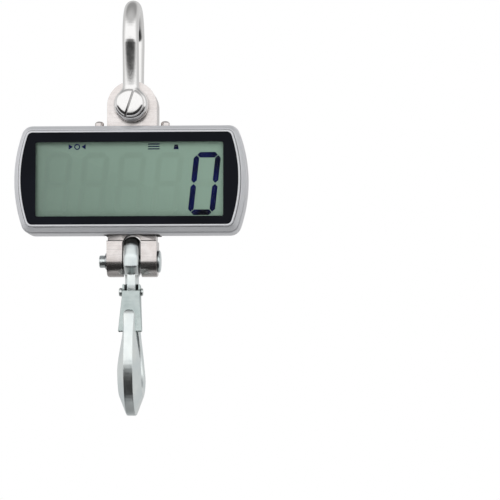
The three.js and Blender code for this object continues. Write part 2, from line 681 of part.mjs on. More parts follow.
function batteryCell(side, row) {
  const start = 1.2;
  const profile = [
    [0, start],
    [CELL_R - 0.4, start],
    [CELL_R, start + 0.5],
    [CELL_R, start + CELL_LENGTH - 2],
    [CELL_R - 0.6, start + CELL_LENGTH - 1.4],
    [2.7, start + CELL_LENGTH - 1.4],
    [2.7, start + CELL_LENGTH],
    [0, start + CELL_LENGTH],
  ];
  const points = side > 0 ? profile : mirrored(profile);
  return turned("x", points, [0, CELL_Y, HOUSING_Z + (row * CELL_PITCH) / 2], 16);
}

function contactPlate(x) {
  return box([x - 0.25, x + 0.25], [TRAY_Y + 1.5, 28], [HOUSING_Z - 15, HOUSING_Z + 15]);
}

function batteryDoor() {
  const plate = alongY(rectangle(DOOR_HALF_W, DOOR_HALF_H, 2.7), [DOOR_FRONT_Y, REAR_Y], 0.4);
  const recess = alongY(rectangle(22, 1.2), [REAR_Y - 0.8, REAR_Y + 1]);
  const body = cut(plate.translate(0, 0, HOUSING_Z), recess.translate(0, 0, HOUSING_Z + 14));
  const holes = [];
  for (const side of SIDES) {
    const at = [side * DOOR_SCREW_X, 0, HOUSING_Z];
    holes.push(rod("y", DOOR_SCREW_R + FIT, [0, 50], at, 12));
    holes.push(rod("y", DOOR_HEAD_R + FIT, [REAR_Y - 1, 50], at, 20));
  }
  return cut(body, ...holes);
}

function doorGasket() {
  const y = [LEDGE_Y + FIT, DOOR_FRONT_Y - FIT];
  const body = ring(rectangle(54.4, 20.4, 2), rectangle(52.4, 18.4, 1), y);
  return geometryOf(body).translate(0, 0, HOUSING_Z);
}

function doorScrew(side) {
  const seat = REAR_Y - 1 + FIT;
  const shank = rod("y", DOOR_SCREW_R, [LEDGE_Y - 4, seat + 0.5], [0, 0, 0], 12);
  const head = rod("y", DOOR_HEAD_R, [seat, seat + 1.6], [0, 0, 0], 20);
  const slot = box([-0.5, 0.5], [seat + 0.8, seat + 3], [-4, 4]);
  const body = cut(join(shank, head), slot.rotateY(side * 0.5));
  return geometryOf(body).translate(side * DOOR_SCREW_X, 0, HOUSING_Z);
}

// ---- Power button ----

function powerButton() {
  const innerWall = REAR_Y - REAR_WALL;
  const profile = [
    [0, innerWall - 1.6],
    [BUTTON_R + 0.9, innerWall - 1.6],
    [BUTTON_R + 0.9, innerWall - 0.6],
    [BUTTON_R, innerWall - 0.6],
    [BUTTON_R, REAR_Y + 1],
    [BUTTON_R - 1, REAR_Y + 1.8],
    [0, REAR_Y + 1.8],
  ];
  return turned("y", profile, [BUTTON_X, 0, HOUSING_Z], 24);
}

function buttonSeal() {
  const y = [REAR_Y - 1, REAR_Y + 0.4];
  const at = [BUTTON_X, 0, HOUSING_Z];
  return cut(rod("y", BOOT_R, y, at, 24), rod("y", BUTTON_R + FIT, [y[0] - 1, y[1] + 1], at, 24));
}

function switchBoard() {
  const pressed = REAR_Y - REAR_WALL - 1.6 - BUTTON_TRAVEL - FIT;
  const plate = box([57, 79], [pressed - 5.6, pressed - 4], [HOUSING_Z - 9, HOUSING_Z + 9]);
  const switchZ = [HOUSING_Z - 3, HOUSING_Z + 3];
  const switchBox = box([BUTTON_X - 3, BUTTON_X + 3], [pressed - 4.5, pressed - 0.8], switchZ);
  const plunger = rod("y", 1.7, [pressed - 1.5, pressed], [BUTTON_X, 0, HOUSING_Z], 12);
  return join(plate, switchBox, plunger);
}

// ---- Hook pin ----

function hookPin() {
  const profile = [
    [0, -HOOK_PIN_TAIL],
    [HOOK_PIN_R - 0.8, -HOOK_PIN_TAIL],
    [HOOK_PIN_R, -HOOK_PIN_TAIL + 0.8],
    [HOOK_PIN_R, -CLIP_X - CLIP_T - FIT],
    [CLIP_GROOVE_R, -CLIP_X - CLIP_T - FIT],
    [CLIP_GROOVE_R, -CLIP_X + FIT],
    [HOOK_PIN_R, -CLIP_X + FIT],
    [HOOK_PIN_R, CELL_HALF_W + FIT],
    [HOOK_PIN_HEAD_R, CELL_HALF_W + FIT],
    [HOOK_PIN_HEAD_R, CELL_HALF_W + FIT + HOOK_PIN_HEAD_T - 0.9],
    [HOOK_PIN_HEAD_R - 1.2, CELL_HALF_W + FIT + HOOK_PIN_HEAD_T - 0.2],
    [0, CELL_HALF_W + FIT + HOOK_PIN_HEAD_T],
  ];
  return turned("x", profile, [0, 0, HOOK_PIN_Z], 24);
}

function hookPinClip() {
  const x = [-CLIP_X - CLIP_T, -CLIP_X];
  const through = [x[0] - 1, x[1] + 1];
  const disc = rod("x", CLIP_R, x, [0, 0, 0], 28);
  const groove = rod("x", CLIP_GROOVE_R + FIT, through, [0, 0, 0], 20);
  const mouth = box(through, [-1.6, 1.6], [-CLIP_R - 1, 0]);
  return geometryOf(cut(disc, groove, mouth)).translate(0, 0, HOOK_PIN_Z);
}

// ---- Hook, drawn about the hook pin ----

// The side view: a J that starts in the eye, with the tip towards the front.
function hookSide() {
  const shape = new THREE.Shape();
  const left = HOOK_OUTER_Y - HOOK_OUTER_R;
  const right = HOOK_OUTER_Y + HOOK_OUTER_R;
  const outerZ = BOWL_Z - HOOK_OUTER_Y;
  shape.moveTo(-23.5, -41);
  shape.quadraticCurveTo(-28.2, -41.5, -29.5, -47);
  shape.quadraticCurveTo(left, -68, left, outerZ);
  shape.absarc(HOOK_OUTER_Y, outerZ, HOOK_OUTER_R, Math.PI, 2 * Math.PI);
  shape.quadraticCurveTo(right, -64, 27, -40);
  shape.quadraticCurveTo(19.5, -23, 18.5, -6);
  shape.lineTo(-10, -12);
  shape.quadraticCurveTo(-9, -28, 1, -42);
  shape.quadraticCurveTo(BOWL_R, -64, BOWL_R, BOWL_Z);
  shape.absarc(0, BOWL_Z, BOWL_R, 0, -Math.PI, true);
  shape.quadraticCurveTo(-BOWL_R, -64, -19.5, -49);
  shape.quadraticCurveTo(-20.5, -41.5, -23.5, -41);
  return shape;
}

// The front view, which narrows to the neck and to the bottom.
function hookFront() {
  const neck = HOOK_NECK_HALF;
  const bottom = BOWL_Z - HOOK_OUTER_Y - HOOK_OUTER_R - 1;
  const shape = new THREE.Shape();
  shape.moveTo(-5, bottom);
  shape.quadraticCurveTo(-HOOK_HALF_W + 1, -116, -HOOK_HALF_W, -97);
  shape.quadraticCurveTo(-HOOK_HALF_W, -76, -6, -56);
  shape.quadraticCurveTo(-neck, -48, -neck, -38);
  shape.lineTo(-neck, -22);
  shape.lineTo(-HOOK_EYE_HALF, -15.5);
  shape.lineTo(-HOOK_EYE_HALF, HOOK_EYE_R + 1);
  shape.lineTo(HOOK_EYE_HALF, HOOK_EYE_R + 1);
  shape.lineTo(HOOK_EYE_HALF, -15.5);
  shape.lineTo(neck, -22);
  shape.lineTo(neck, -38);
  shape.quadraticCurveTo(neck, -48, 6, -56);
  shape.quadraticCurveTo(HOOK_HALF_W, -76, HOOK_HALF_W, -97);
  shape.quadraticCurveTo(HOOK_HALF_W - 1, -116, 5, bottom);
  return shape;
}

function hook() {
  const chamfer = 2;
  const side = alongX(hookSide(), [-HOOK_HALF_W, HOOK_HALF_W], chamfer, 6);
  const front = alongY(hookFront(), [-60, 60], 0, 5);
  const eyeProfile = [
    [0, -HOOK_EYE_HALF],
    [HOOK_EYE_R - 4, -HOOK_EYE_HALF],
    [HOOK_EYE_R - 1, -HOOK_EYE_HALF + 2],
    [HOOK_EYE_R, 0],
    [HOOK_EYE_R - 1, HOOK_EYE_HALF - 2],
    [HOOK_EYE_R - 4, HOOK_EYE_HALF],
    [0, HOOK_EYE_HALF],
  ];
  const eye = turned("x", eyeProfile, [0, 0, 0], 36);
  const bore = rod("x", HOOK_PIN_R + FIT, [-30, 30], [0, 0, 0]);
  const rivetHole = rod("x", RIVET_R + FIT, [-30, 30], [0, RIVET_Y, RIVET_Z], 16);
  return cut(join(eye, common(side, front)), bore, rivetHole);
}

function latchRivet() {
  const inner = LATCH_TOP_HALF + FIT;
  const profile = [
    [0, -inner - 1.6],
    [2.4, -inner - 1.6],
    [3.2, -inner - 0.8],
    [3.2, -inner],
    [RIVET_R, -inner],
    [RIVET_R, inner],
    [3.2, inner],
    [3.2, inner + 0.8],
    [2.4, inner + 1.6],
    [0, inner + 1.6],
  ];
  return turned("x", profile, [0, RIVET_Y, RIVET_Z], 20);
}

// ---- Latch: a folded channel that straddles the hook's neck ----

function latchSide(back) {
  const shape = new THREE.Shape();
  shape.moveTo(-11.5 + back, LATCH_TOP_Z);
  shape.lineTo(-18 + back, LATCH_END_Z);
  shape.lineTo(-13, LATCH_END_Z);
  shape.lineTo(1.5, -31);
  shape.quadraticCurveTo(3.5, -22, -1, LATCH_TOP_Z);
  return shape;
}

function latchFront(topHalf, endHalf, extra) {
  const shape = new THREE.Shape();
  shape.moveTo(-endHalf, LATCH_END_Z - extra);
  shape.lineTo(endHalf, LATCH_END_Z - extra);
  shape.lineTo(topHalf, LATCH_FLARE_Z);
  shape.lineTo(topHalf, LATCH_TOP_Z + extra);
  shape.lineTo(-topHalf, LATCH_TOP_Z + extra);
  shape.lineTo(-topHalf, LATCH_FLARE_Z);
  return shape;
}

function safetyLatch() {
  const outer = common(
    alongX(latchSide(0), [-20, 20], 0, 4),
    alongY(latchFront(LATCH_TOP_HALF, LATCH_END_HALF, 0), [-40, 20]),
  );
  const innerFront = latchFront(LATCH_TOP_HALF - LATCH_T, LATCH_END_HALF - LATCH_T, 1);
  const behindWeb = new THREE.Shape();
  behindWeb.moveTo(-11.5 + LATCH_T + 0.17, LATCH_TOP_Z + 1);
  behindWeb.lineTo(-18 + LATCH_T - 0.17, LATCH_END_Z - 1);
  behindWeb.lineTo(20, LATCH_END_Z - 1);
  behindWeb.lineTo(20, LATCH_TOP_Z + 1);
  const inner = common(alongX(behindWeb, [-20, 20]), alongY(innerFront, [-40, 30]));
  const rivetHole = rod("x", RIVET_R + FIT, [-30, 30], [0, RIVET_Y, RIVET_Z], 16);
  return cut(outer, inner, rivetHole);
}

// A turn and a half of wire on the rivet, between the hook's neck and one side of the latch.
function latchSpring() {
  const coilR = 3.3;
  const steps = 18;
  const start = HOOK_NECK_HALF + FIT + SPRING_WIRE_R;
  const end = LATCH_TOP_HALF - LATCH_T - FIT - SPRING_WIRE_R;
  const points = [new THREE.Vector3(start, RIVET_Y + coilR, RIVET_Z - 5)];
  for (let step = 0; step <= steps; step += 1) {
    const angle = (step / 12) * 2 * Math.PI;
    const x = start + ((end - start) * step) / steps;
    points.push(new THREE.Vector3(x, RIVET_Y + coilR * Math.cos(angle), RIVET_Z + coilR * Math.sin(angle)));
  }
  points.push(new THREE.Vector3(end, RIVET_Y - coilR, RIVET_Z - 4));
  const section = new THREE.Shape().absarc(0, 0, SPRING_WIRE_R, 0, 2 * Math.PI);
  const options = { steps: 36, curveSegments: 2, extrudePath: new THREE.CatmullRomCurve3(points) };
  return new THREE.ExtrudeGeometry(section, options);
}

// ---- Materials ----

function metal(color, roughness) {
  return new THREE.MeshStandardMaterial({ color, roughness, metalness: 1 });
}

function plain(color, roughness) {
  return new THREE.MeshStandardMaterial({ color, roughness, metalness: 0 });
}

const polishedSteel = metal(0xc9cbcc, 0.15);
const nickel = metal(0xd8d2cc, 0.3);
const zinc = metal(0xb9c4c2, 0.35);
const steel = metal(0xa9abad, 0.4);
const silverPlastic = new THREE.MeshStandardMaterial({ color: 0xc3c5c9, roughness: 0.4, metalness: 0.4 });
const blackRubber = plain(0x1a1a1a, 0.85);
const darkPanel = plain(0x14161b, 0.2);
const lcdGlass = plain(0x82a08e, 0.35);
const whitePlastic = plain(0xe4e4e0, 0.5);
const blackPlastic = plain(0x222224, 0.6);
const circuitBoard = plain(0x1e5a34, 0.5);
const batterySleeve = plain(0x8a8f96, 0.35);
const leadSheath = plain(0x2b2b2e, 0.6);

function mesh(name, shape, material) {
  const result = new THREE.Mesh(geometryOf(shape), material);
  result.name = name;
  return result;
}

// ---- Assembly ----

const scale = new THREE.Group();

scale.add(mesh("shackle_bow", shackleBow(), polishedSteel));
scale.add(mesh("shackle_pin", shacklePin(), polishedSteel));

scale.add(mesh("load_cell", loadCell(), nickel));
scale.add(mesh("gauge_cover_front", gaugeCover(-1), steel));
scale.add(mesh("gauge_cover_rear", gaugeCover(1), steel));
scale.add(mesh("cell_lead", cellLead(), leadSheath));

scale.add(mesh("front_bezel", frontBezel(), silverPlastic));
scale.add(mesh("rear_housing", rearHousing(), silverPlastic));
scale.add(mesh("case_gasket", caseGasket(), blackRubber));
scale.add(mesh("window_panel", windowPanel(), darkPanel));
scale.add(mesh("lcd_panel", lcdPanel(), lcdGlass));
scale.add(mesh("lcd_carrier", lcdCarrier(), whitePlastic));
scale.add(mesh("lcd_connector", lcdConnector(), blackRubber));
scale.add(mesh("main_board", mainBoard(), circuitBoard));
scale.add(mesh("receiver_module", receiverModule(), circuitBoard));
scale.add(mesh("antenna", antenna(), steel));
scale.add(mesh("buzzer", buzzer(), blackPlastic));
scale.add(mesh("lead_plug", leadPlug(), whitePlastic));

const corners = ["lower_left", "upper_left", "lower_right", "upper_right"];
corners.forEach((corner, index) => {
  const x = index < 2 ? -1 : 1;
  const z = index % 2 === 0 ? -1 : 1;
  const caseAt = [x * CASE_SCREW_X, HOUSING_Z + z * CASE_SCREW_Z];
  const boardAt = [x * BOARD_SCREW_X, HOUSING_Z + z * BOARD_SCREW_Z];
  scale.add(mesh(`case_screw_${corner}`, caseScrew(...caseAt), steel));
  scale.add(mesh(`board_screw_${corner}`, boardScrew(...boardAt), steel));
});

const topSealZ = [HOUSING_Z + HOUSING_HALF_H - 3.4, HOUSING_Z + HOUSING_HALF_H - 0.8];
const bottomSealZ = [HOUSING_Z - HOUSING_HALF_H + 0.4, HOUSING_Z - HOUSING_HALF_H + 3.2];
scale.add(mesh("top_seal", cellSeal(CELL_HALF_W + FIT, CELL_HALF_T + FIT, topSealZ), blackRubber));
scale.add(mesh("bottom_seal", cellSeal(NECK_HALF_W + FIT, NECK_HALF_T + FIT, bottomSealZ), blackRubber));

for (const side of SIDES) {
  const hand = side < 0 ? "left" : "right";
  scale.add(mesh(`bracket_${hand}`, bracket(side), steel));
  scale.add(mesh(`bracket_bolt_${hand}`, bracketBolt(side), steel));
  scale.add(mesh(`top_screw_${hand}`, topScrew(side), nickel));
  scale.add(mesh(`top_nut_${hand}`, topNut(side), steel));
  scale.add(mesh(`contact_${hand}`, contactPlate(side * 51.6), nickel));
  scale.add(mesh(`door_screw_${hand}`, doorScrew(side), steel));
  for (const row of SIDES) {
    const level = row < 0 ? "lower" : "upper";
    scale.add(mesh(`battery_${level}_${hand}`, batteryCell(side, row), batterySleeve));
  }
}

scale.add(mesh("contact_middle", contactPlate(0), nickel));
scale.add(mesh("battery_tray", batteryTray(), blackPlastic));
scale.add(mesh("battery_door", batteryDoor(), silverPlastic));
scale.add(mesh("door_gasket", doorGasket(), blackRubber));
scale.add(mesh("power_button", powerButton(), blackPlastic));
scale.add(mesh("button_seal", buttonSeal(), blackRubber));
scale.add(mesh("switch_board", switchBoard(), circuitBoard));
scale.add(mesh("hook_pin", hookPin(), steel));
scale.add(mesh("hook_pin_clip", hookPinClip(), steel));

// The hook hangs with its weight under its pin, so its bowl stands a little to one side.
const hanging = new THREE.Group();
hanging.position.set(HOOK_X, 0, HOOK_PIN_Z);
hanging.rotation.x = HOOK_HANG;
hanging.add(mesh("hook", hook(), zinc));
hanging.add(mesh("latch_rivet", latchRivet(), zinc));
hanging.add(mesh("latch_spring", latchSpring(), steel));
hanging.add(mesh("safety_latch", safetyLatch(), zinc));
scale.add(hanging);

export default scale;
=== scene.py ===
import json
import math

import bmesh
import bpy
import numpy as np
from mathutils import Matrix, Vector


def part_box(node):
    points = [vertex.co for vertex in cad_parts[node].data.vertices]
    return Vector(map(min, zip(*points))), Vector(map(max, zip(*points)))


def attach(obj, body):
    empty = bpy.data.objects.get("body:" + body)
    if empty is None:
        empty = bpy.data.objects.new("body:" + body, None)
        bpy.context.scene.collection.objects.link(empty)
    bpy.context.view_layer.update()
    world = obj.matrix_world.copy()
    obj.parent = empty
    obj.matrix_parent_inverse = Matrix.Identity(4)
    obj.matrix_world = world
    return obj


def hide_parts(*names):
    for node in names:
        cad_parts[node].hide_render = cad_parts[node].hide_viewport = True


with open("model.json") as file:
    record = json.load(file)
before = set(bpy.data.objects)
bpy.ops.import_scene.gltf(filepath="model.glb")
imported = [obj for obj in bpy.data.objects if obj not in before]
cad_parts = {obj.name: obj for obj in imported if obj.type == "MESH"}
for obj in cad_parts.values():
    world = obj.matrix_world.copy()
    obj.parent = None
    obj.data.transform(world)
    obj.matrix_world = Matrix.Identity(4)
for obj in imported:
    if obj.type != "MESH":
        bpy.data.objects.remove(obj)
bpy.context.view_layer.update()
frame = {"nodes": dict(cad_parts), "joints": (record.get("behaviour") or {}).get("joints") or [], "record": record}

# Looks for the crane scale, built around the CAD frame. Shapes are worked out in millimetres, in
# the frame's own axes: X right, Y to the rear, Z up.

MM = 0.001
TURN = 2 * math.pi
SIDES = (-1, 1)
FIT = 0.3  # gap between pieces that meet


def span(node):
    """The node's range along X, Y and Z."""
    low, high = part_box(node)
    return [(a / MM, b / MM) for a, b in zip(low, high)]


def middle(limits):
    return sum(limits) / 2


def joint_place(name):
    joint = next(j for j in frame["joints"] if j["name"] == name)
    return [value / MM for value in joint["pos_m"]]


# Places that the frame gives
SHACKLE_PIN_Z = joint_place("scale_swing")[2]
HOOK_PIN_Z = joint_place("hook_swing")[2]
BEZEL = span("front_bezel")
REAR = span("rear_housing")
WINDOW = span("window_panel")
LCD = span("lcd_panel")
CELL = span("load_cell")
DOOR = span("battery_door")
BOW = span("shackle_bow")
HOUSING_Z = middle(BEZEL[2])
HALF_W = BEZEL[0][1]
HALF_H = BEZEL[2][1] - HOUSING_Z
HOUSING_MIDDLE = (0, 0, HOUSING_Z)
SHACKLE_PIN = (0, 0, SHACKLE_PIN_Z)
HOOK_PIN = (0, 0, HOOK_PIN_Z)

# Shackle
BAR_R = BOW[2][1] / 2
BOW_R = 26.0
BOW_Z = BAR_R - BOW_R
EYE_R = 13.8
EYE_END_R = 11.8
EYE_INNER_Y = 13.4
EYE_OUTER_Y = 26.4
EYE_MIDDLE_Y = (EYE_INNER_Y + EYE_OUTER_Y) / 2
SHACKLE_PIN_R = 6.0
PIN_HEAD_R = 11.2
PIN_SLOT_LEAN = math.radians(18)

# Load cell
CELL_HALF_W = CELL[0][1]
CELL_HALF_T = CELL[1][1]
NECK_HALF_W = 19.2
NECK_HALF_T = 10.0
NECK_BOTTOM = HOOK_PIN_Z + 16
NECK_TOP = HOOK_PIN_Z + 30
FORK_SLOT_HALF = 7.4
FORK_SLOT_TOP = 20.9
HOOK_PIN_R = 5.0

# Housing
SIDE_R = 114.5
CORNER_R = 9.0
WINDOW_INSET = 6.4
OPENING_INSET = 11.0
BEZEL_STEP = 1.15  # the bezel is this much smaller all round than the rear housing
WALL = 2.5
REAR_WALL = 5.4
TAPER_Y = 2.0  # the rear shell draws in behind here
REAR_ROUND = 6.0  # depth of the rounding at its back
REAR_TUCK = 5.0  # how far that rounding draws in
REAR_HALF_W = 84.0
REAR_HALF_H = 31.0
CELL_HOLE_HALF_W = 22.3
CELL_HOLE_HALF_T = 14.8
CASE_SCREW_X = 81.0
CASE_SCREW_Z = 31.5
DOOR_SCREW_X = 58.1
BUTTON_X = 68.8
BUTTON_R = 4.6
BUTTON_MIDDLE = (BUTTON_X, 0, HOUSING_Z)

# Display
LCD_WINDOW_HALF_W = 74.4
LCD_WINDOW_HALF_H = 29.5
LCD_WINDOW_Z = HOUSING_Z - 0.6
DIGITS = 5
DIGIT_PITCH = 29.4
LAST_DIGIT_X = 59.4
DIGIT_Z = HOUSING_Z - 4.2
DIGIT_HALF_W = 8.5  # to the middle of the strokes
DIGIT_HALF_H = 22.8
STROKE = 4.4
SLANT = math.tan(math.radians(6.2))
MARK_Z = HOUSING_Z + 25.4
INK_T = 0.04
ZERO_MARK_X = -41.7
STEADY_MARK_X = 19.2
UNIT_MARK_X = 37.0

# Hook and latch, measured from the hook pin
HOOK_X = -0.3
HOOK_HANG = math.radians(-2.65)
HOOK_EYE_R = 20.0
HOOK_EYE_HALF = 6.2
BOWL_Z = -85.2
BOWL_R = 17.0
OUTER_R = 36.09
OUTER_Y = 2.0
LIMB_STRETCH = 1.15  # the outside of the limb is this much taller than a circle
RIVET = (-3.5, -25.0)
RIVET_R = 2.25
LATCH_T = 1.5
LATCH_TOP_HALF = 7.2
LATCH_END_HALF = 9.6
LATCH_TOP_Z = -19.0
LATCH_FLARE_Z = -30.0
LATCH_END_Z = -58.0


# ---- Meshes ----

def piece(name, points, faces):
    """A new piece from points in millimetres, with its faces pointing out."""
    data = bpy.data.meshes.new(name)
    data.from_pydata([Vector(p) * MM for p in points], [], faces)
    shape = bmesh.new()
    shape.from_mesh(data)
    bmesh.ops.remove_doubles(shape, verts=shape.verts, dist=1e-8)
    bmesh.ops.recalc_face_normals(shape, faces=shape.faces)
    shape.to_mesh(data)
    shape.free()
    made = bpy.data.objects.new(name, data)
    bpy.context.collection.objects.link(made)
    return made


def place(axis, along, a, b, at=(0, 0, 0)):
    """A point whose place along one axis is given first, and then on the other two in order."""
    where = {"x": (along, a, b), "y": (a, along, b), "z": (a, b, along)}[axis]
    return tuple(p + q for p, q in zip(where, at))


def rounded(corners, closed=False, steps=6):
    """A 2D line whose corners, given as a, b and radius, are rounded."""
    line = []
    count = len(corners)
    for index, (a, b, radius) in enumerate(corners):
        here = Vector((a, b))
        if radius == 0 or (not closed and index in (0, count - 1)):
            line.append(tuple(here))
            continue
        before = (Vector(corners[index - 1][:2]) - here).normalized()
        after = (Vector(corners[(index + 1) % count][:2]) - here).normalized()
        half = before.angle(after) / 2
        centre = here + (before + after).normalized() * radius / math.sin(half)
        first = here + before * radius / math.tan(half) - centre
        last = here + after * radius / math.tan(half) - centre
        turn = math.atan2(first.x * last.y - first.y * last.x, first.dot(last))
        for step in range(steps + 1):
            angle = turn * step / steps
            cos, sin = math.cos(angle), math.sin(angle)
            line.append((centre.x + first.x * cos - first.y * sin,
                         centre.y + first.x * sin + first.y * cos))
    return line


def turned(name, axis, profile, at=(0, 0, 0), sides=96):
    """A turned piece. The profile's points are radius and place along the axis."""
    points, rings = [], []
    for radius, along in profile:
        start = len(points)
        if radius < 1e-6:
            points.append(place(axis, along, 0, 0, at))
            rings.append([start])
            continue
        for side in range(sides):
            angle = TURN * side / sides
            points.append(place(axis, along, radius * math.cos(angle), radius * math.sin(angle), at))
        rings.append(list(range(start, start + sides)))
    pairs = list(zip(rings, rings[1:]))
    if len(rings[0]) > 1:
        pairs.append((rings[-1], rings[0]))
    faces = []
    for low, high in pairs:
        for side in range(sides):
            after = (side + 1) % sides
            if len(low) == 1:
                faces.append((low[0], high[after], high[side]))
            elif len(high) == 1:
                faces.append((low[side], low[after], high[0]))
            else:
                faces.append((low[side], low[after], high[after], high[side]))
    return piece(name, points, faces)


def prism(name, axis, outline, limits, at=(0, 0, 0)):
    """An outline in the other two axes, drawn out along one axis."""
    count = len(outline)
    points = [place(axis, along, a, b, at) for along in limits for a, b in outline]
    faces = [tuple(range(count)), tuple(range(count, 2 * count))]
    faces += [(i, (i + 1) % count, (i + 1) % count + count, i + count) for i in range(count)]
    return piece(name, points, faces)


def rod(name, axis, radius, limits, at=(0, 0, 0), sides=64):
    outline = arc((0, 0), radius, 0, TURN, sides)[:-1]
    return prism(name, axis, outline, limits, at)


def loft(name, rings, ring_shaped=False):
    """Quads from ring to ring. The ends are closed, or the last ring meets the first."""
    count = len(rings[0])
    points = [point for ring in rings for point in ring]
    pairs = list(zip(range(len(rings)), range(1, len(rings))))
    faces = []
    if ring_shaped:
        pairs.append((len(rings) - 1, 0))
    else:
        last = (len(rings) - 1) * count
        faces += [tuple(range(count)), tuple(range(last, last + count))]
    for low, high in pairs:
        for i in range(count):
            after = (i + 1) % count
            faces.append((low * count + i, low * count + after, high * count + after, high * count + i))
    return piece(name, points, faces)


def tube(name, path, radius, sides=16):
    """A round bar along a path of points."""
    path = [Vector(p) for p in path]
    rings = []
    normal = (path[1] - path[0]).orthogonal().normalized()
    for index, here in enumerate(path):
        ahead = (path[min(index + 1, len(path) - 1)] - path[max(index - 1, 0)]).normalized()
        normal = (normal - ahead * normal.dot(ahead)).normalized()
        other = ahead.cross(normal)
        angles = [TURN * i / sides for i in range(sides)]
        rings.append([tuple(here + (normal * math.cos(a) + other * math.sin(a)) * radius)
                      for a in angles])
    return loft(name, rings)


def tilted(made, angle, axis, at):
    """Turns a piece about one of the frame's axes, and then moves it."""
    made.data.transform(Matrix.Rotation(angle, 4, axis))
    made.data.transform(Matrix.Translation(Vector(at) * MM))
    return made


def settle(made):
    """Applies the piece's modifiers."""
    depsgraph = bpy.context.evaluated_depsgraph_get()
    data = bpy.data.meshes.new_from_object(made.evaluated_get(depsgraph))
    made.modifiers.clear()
    made.data = data
    return made


def boolean(made, operation, tools):
    for tool in tools:
        modifier = made.modifiers.new(operation, "BOOLEAN")
        modifier.operation = operation
        modifier.solver = "EXACT"
        modifier.object = tool
        settle(made)
        bpy.data.objects.remove(tool)
    return made


def cut(made, *tools):
    return boolean(made, "DIFFERENCE", tools)


def join(made, *tools):
    return boolean(made, "UNION", tools)


def common(made, *tools):
    return boolean(made, "INTERSECT", tools)


def bevelled(made, width, segments=3, angle=35):
    modifier = made.modifiers.new("bevel", "BEVEL")
    modifier.width = width * MM
    modifier.segments = segments
    modifier.limit_method = "ANGLE"
    modifier.angle_limit = math.radians(angle)
    modifier.miter_outer = "MITER_ARC"
    return settle(made)


def remeshed(made, voxel, smoothing=0):
    modifier = made.modifiers.new("remesh", "REMESH")
    modifier.mode = "VOXEL"
    modifier.voxel_size = voxel * MM
    settle(made)
    if smoothing:
        modifier = made.modifiers.new("smooth", "SMOOTH")
        modifier.factor = 0.5
        modifier.iterations = smoothing
        settle(made)
    return made


def drawn_to(made, distance):
    """Moves every vertex onto the surface where a distance function is zero."""
    count = len(made.data.vertices)
    flat = np.zeros(count * 3)
    made.data.vertices.foreach_get("co", flat)
    points = flat.reshape(-1, 3) / MM
    small = 0.01
    passes = 4
    for _ in range(passes):
        here = distance(points)
        beside = [distance(points + small * axis) for axis in np.eye(3)]
        slope = np.stack([(value - here) / small for value in beside], axis=1)
        points = points - slope * (here / np.maximum((slope ** 2).sum(axis=1), 1e-6))[:, None]
    made.data.vertices.foreach_set("co", (points * MM).ravel())
    made.data.update()
    return made


def finished(made, body, slot, nodes=(), sharp=34, material=None):
    """Shades the piece, and says what it rides on, stands for and is made of."""
    made.data.shade_smooth()
    made.data.set_sharp_from_angle(angle=math.radians(sharp))
    made.data.materials.clear()
    made.data.materials.append(material or SLOT_MATERIALS[slot])
    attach(made, body)
    if nodes:
        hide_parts(*nodes)
    return made


def arc(centre, radius, start, end, steps):
    """Points on a circle, from one angle to another, both ends included."""
    angles = [start + (end - start) * i / steps for i in range(steps + 1)]
    return [(centre[0] + radius * math.cos(a), centre[1] + radius * math.sin(a)) for a in angles]


def curve(points, steps):
    """A Bezier curve of degree 2 or 3, both ends included."""
    line = []
    degree = len(points) - 1
    for step in range(steps + 1):
        t = step / steps
        weights = [math.comb(degree, k) * t ** k * (1 - t) ** (degree - k) for k in range(degree + 1)]
        line.append(tuple(sum(w * p[axis] for w, p in zip(weights, points)) for axis in (0, 1)))
    return line


def dome(radius, height, top):
    """A dome's profile, from its edge to its middle."""
    turns = [math.pi / 2 * i / 10 for i in range(10, -1, -1)]
    return [(radius * math.sin(a), top - height * (1 - math.cos(a))) for a in turns]


def rectangle(half_a, half_b, radius=0.0, centre=(0.0, 0.0)):
    signs = ((-1, -1), (1, -1), (1, 1), (-1, 1))
    corners = [(centre[0] + a * half_a, centre[1] + b * half_b, radius) for a, b in signs]
    return rounded(corners, closed=True)


# ---- Materials ----

def shade(red, green, blue):
    """A colour given as screen values from 0 to 255."""
    parts = [value / 255 for value in (red, green, blue)]
    return tuple(p / 12.92 if p <= 0.04045 else ((p + 0.055) / 1.055) ** 2.4 for p in parts)


def principled(name, color, roughness, metallic=0.0, **sockets):
    made = bpy.data.materials.new(name)
    made.use_nodes = True
    sockets.update(Base_Color=(*color, 1), Roughness=roughness, Metallic=metallic)
    for socket, value in sockets.items():
        fill_shader(made, socket.replace("_", " "), value)
    return made


def fill(made, socket, value):
    """Gives a socket a value, or wires it to another node's output."""
    if isinstance(value, bpy.types.NodeSocket):
        made.node_tree.links.new(value, socket)
    else:
        socket.default_value = value


def fill_shader(made, socket, value):
    fill(made, made.node_tree.nodes["Principled BSDF"].inputs[socket], value)


def new_node(made, kind, settings=(), **inputs):
    node = made.node_tree.nodes.new("ShaderNode" + kind)
    for name, value in dict(settings).items():
        setattr(node, name, value)
    for name, value in inputs.items():
        fill(made, node.inputs[name.replace("_", " ")], value)
    return node


def math_node(made, operation, *values):
    node = new_node(made, "Math", {"operation": operation})
    for socket, value in zip(node.inputs, values):
        fill(made, socket, value)
    return node.outputs[0]


def noise(made, scale, detail=3.0, stretch=(1, 1, 1)):
    """A noise pattern on the piece, with this many cells in a metre."""
    where = new_node(made, "TexCoord").outputs["Object"]
    mapping = new_node(made, "Mapping", Vector=where, Scale=stretch)
    pattern = new_node(made, "TexNoise", Vector=mapping.outputs["Vector"], Scale=scale, Detail=detail)
    return pattern.outputs["Fac"]


def ranged(made, value, low, high, start=0.3, end=0.7):
    node = new_node(made, "MapRange", Value=value, From_Min=start, From_Max=end, To_Min=low, To_Max=high)
    return node.outputs["Result"]


def varied_roughness(made, pattern, low, high):
    fill_shader(made, "Roughness", ranged(made, pattern, low, high))


